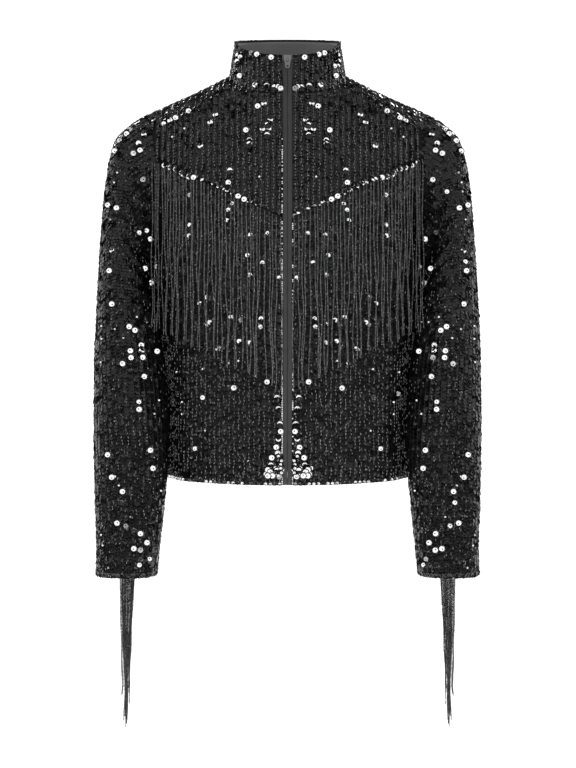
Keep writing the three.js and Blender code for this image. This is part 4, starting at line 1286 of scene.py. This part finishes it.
def on_seam(shares):
    """Places along the yoke seam and past it, each with the way down the cloth and the way out of it."""
    places = along_path(seam, shares)
    places[:, 1] = np.minimum(places[:, 1], [cloth_y(x, z - 2) for x, _, z in places])
    down = unit(along_path(under_seam, shares) - along_path(seam, shares))
    row = np.full(len(shares), len(front.points) - 2.0)
    out = front.read(front.normals, row, np.minimum(shares * len(seam), len(FINE) - 1))
    return places, down, out


# %% Hang the fringe
FIRST_STRAND, STRANDS_SPAN = 0.012, 0.975  # shares of the seam
ROOT_DOWN, ROOT_OUT, ROOT_STRAY = 1.8, 1.5, 0.7
CUT_UNEVEN = 9  # the shortest strands are cut this much short
roots, falling, away = on_seam(FIRST_STRAND + STRANDS_SPAN * np.linspace(0, 1, STRANDS))
roots = roots + falling * ROOT_DOWN + away * ROOT_OUT
roots[:, 0] += rng.normal(0, ROOT_STRAY, STRANDS)
routes = [
    strand_route(root, number, FRINGE_LENGTH - rng.uniform(0, CUT_UNEVEN))
    for number, root in enumerate(roots)
]
fringe_beads = {
    "left": threaded("beads_fringe_left", routes),
    "right": threaded("beads_fringe_right", [route * MIRROR for route in routes]),
}

# %% The fringe's tape
TAPE_LIE, TAPE_THICK = 0.4, 1.2
TAPE_DROPS = (5.0, 0.4)  # its lower and upper edge, below the seam
TAPE_SHARES = np.linspace(0.009, 0.99, 49)
tape_edge, tape_down, tape_out = on_seam(TAPE_SHARES)
fringe_edges = np.stack([tape_edge + tape_down * drop for drop in TAPE_DROPS]) + tape_out * (TAPE_LIE + TAPE_THICK)
tape_normals = np.stack([tape_out] * 2)
for side, sign in SIDES.items():
    turn = np.array([sign, 1, 1])
    name = f"fringe_tape_{side}"
    mesh = cloth_wall(name, fringe_edges * turn, tape_normals * turn, TAPE_THICK)
    link(name, mesh, net_ground)
    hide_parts(f"fringe_{side}")
print("strands a side:", STRANDS, "beads:", len(fringe_beads["left"].data.polygons) // len(BEAD[1]))

# %% [markdown]
# A short end of the same trimming is folded and sewn inside the back of each cuff, so its strands hang in two layers
# and draw together as they fall. Their lengths are uneven, as if the ends were cut by hand.

# %% Cuff tassels
TASSEL_MIDDLE, TASSEL_PITCH, TASSEL_TOP, TASSEL_FOOT = 212, 2.65, -642, -651
TASSEL_LEAN, LEAN_LENGTH = 1.6, 70  # the bundle's middle moves outwards
TASSEL_PAINTED_SHADE, TASSEL_BEAD = (0.0, 0.22), 1.12  # painted shade: the same beads given darker colours, and slightly larger
TASSEL_GATHER, GATHER_LENGTH = 0.0036, 155  # it narrows by this share a millimetre, down to here
TASSEL_STRAY, TASSEL_WAVE, TASSEL_WAVE_LENGTHS, PHASES = 1.6, 0.8, (50, 90), 6
TASSEL_POINTS = 15
HEAD_HALF, HEAD_POINTS, HEAD_DEPTH, HEAD_THICK = 11, 9, 2.3, 4.2
HEAD_GRIP = 3  # the strands start this far up in the head
TASSEL_LAYERS = {  # depth inside the cloth's outer face, and lengths from the inner side
    5.7: [142, 158, 196, 192, 214, 205, 178, 170],
    4.2: [150, 168, 184, 210, 199, 208, 182, 168],
    2.9: [138, 163, 205, 204, 192, 190, 165, 172],
}
cuff = sleeve.points[-1]
cuff_back = cuff[cuff[:, 1] > SLEEVE_ROWS[-1][4]]
cuff_back = cuff_back[np.argsort(cuff_back[:, 0])]


def cuff_depth(x, depth):
    return np.interp(x, cuff_back[:, 0], cuff_back[:, 1]) - depth


tassel_routes = []
for layer, (depth, lengths) in enumerate(TASSEL_LAYERS.items()):
    for i, length in enumerate(lengths):
        x = TASSEL_MIDDLE + (i - (len(lengths) - 1) / 2 + (layer - 1) / 3) * TASSEL_PITCH
        fall = np.linspace(0, length, TASSEL_POINTS)
        narrow = 1 - TASSEL_GATHER * np.minimum(fall, GATHER_LENGTH)
        lean = TASSEL_LEAN * np.minimum(1, fall / LEAN_LENGTH)
        stray = rng.normal(0, TASSEL_STRAY) * (fall / length) ** 3
        turns_down = fall / rng.uniform(*TASSEL_WAVE_LENGTHS) * 2 * math.pi + rng.random() * PHASES
        wave = stray + TASSEL_WAVE * np.sin(turns_down) * fall / length
        at = TASSEL_MIDDLE + lean + (x - TASSEL_MIDDLE) * narrow + wave
        y = np.full(TASSEL_POINTS, cuff_depth(x, depth))
        tassel_routes.append(np.stack([at, y, TASSEL_FOOT + HEAD_GRIP - fall], axis=-1))

head_x = TASSEL_MIDDLE + np.linspace(-HEAD_HALF, HEAD_HALF, HEAD_POINTS)
head_points = np.stack([
    np.stack([head_x, cuff_depth(head_x, HEAD_DEPTH), np.full(HEAD_POINTS, float(z))], axis=-1)
    for z in (TASSEL_FOOT, TASSEL_TOP)
])
head_normals = np.tile(np.array([0.0, 1, 0]), (2, HEAD_POINTS, 1))
for side, sign in SIDES.items():
    turn = np.array([sign, 1, 1])
    # the tassel's beads take the darker colours, a painted shade
    beads = threaded(f"beads_tassel_{side}", [route * turn for route in tassel_routes], TASSEL_PAINTED_SHADE, TASSEL_BEAD)
    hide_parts(f"tassel_{side}")
    mesh = cloth_wall(f"tassel_tape_{side}", head_points * turn, head_normals, HEAD_THICK)
    link(mesh.name, mesh, net_ground)
print("tassel strands a side:", len(tassel_routes))

# %% [markdown]
# ## Zip and facing
# The zip is sewn in with its coil to the back, so from the front only two smooth tapes show, meeting on the centre
# line. The coil behind is one nylon thread wound round in even turns.

# %% Zip tapes and coil
TAPE_FROM, TAPE_TO, TAPE_SUNK, ZIP_TAPE = 0.15, 6.5, 0.5, 1.0
TAPE_ENDS, TAPE_STEP = (0.3, 3.4), 6  # left free at the hem and at the top, and from point to point
centre_line = np.concatenate([front.points[:, 0], yoke.points[1:, 0], collar.points[1:, 0]]) * (0, 1, 1)


def line_between(start, end, step):
    run = lengths_along(centre_line)
    at = np.arange(start, run[-1] - end, step)
    points = read_along(centre_line, run, at)
    along = unit(np.gradient(points, axis=0))
    out = np.stack([0 * along[:, 0], -along[:, 2], along[:, 1]], axis=-1)
    return points, along, out


tape_line, _, tape_face = line_between(*TAPE_ENDS, TAPE_STEP)
for side, sign in SIDES.items():
    across = np.linspace(TAPE_FROM, TAPE_TO, 4)
    points = np.stack([tape_line - tape_face * TAPE_SUNK + (x * sign, 0, 0) for x in across], axis=1)
    normals = np.stack([tape_face] * len(across), axis=1)
    mesh = cloth_wall(f"zip_tape_weave_{side}", points, normals, ZIP_TAPE)
    link(mesh.name, mesh, zip_tape_weave)
    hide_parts(f"zip_tape_{side}")

# %% The coil's turns
COIL_PITCH, COIL_HALF, COIL_WIRE, COIL_DEPTH = 1.5, 2.5, 0.6, 2.55
COIL_ENDS = (10, 16)
COIL_TURN = template(lambda bm: lying_rod(bm, 6, COIL_WIRE, 2 * COIL_HALF, "Y", cap_ends=True))

coil_line, coil_along, coil_out = line_between(*COIL_ENDS, COIL_PITCH)
sideways = np.tile(np.array([1.0, 0, 0]), (len(coil_line), 1))
coil_axes = np.stack([sideways, np.cross(coil_along, sideways), coil_along], axis=-1)
mesh = joined_copies("zip_coil", COIL_TURN, coil_line - coil_out * COIL_DEPTH, coil_axes, np.zeros(len(coil_line)))
coil = link("zip_coil", mesh, nylon_coil)
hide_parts("zip_chain")
print("coil turns:", len(coil_line))

# %% Facing inside the collar
FACING, FACING_SUNK = 1.0, CLOTH + 0.3
inner = whole_collar.points - whole_collar.normals * FACING_SUNK
mesh = cloth_wall("facing", inner[1:-1], whole_collar.normals[1:-1], FACING)
facing = link("facing", mesh, facing_cloth)
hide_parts("collar_facing")

# %% Metal and moulded pieces keep their solids
for node, material in (("zip_slider", gunmetal), ("pull_tab", gunmetal), ("zip_box", nylon_coil)):
    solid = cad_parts[node]
    solid.data.materials.clear()
    solid.data.materials.append(material)

# %% [markdown]
# Last, the triangles of all the meshes are counted.


meshes = [o.data for o in bpy.data.objects if o.type == "MESH"]
print("all triangles:", sum(len(p.vertices) - 2 for mesh in meshes for p in mesh.polygons))
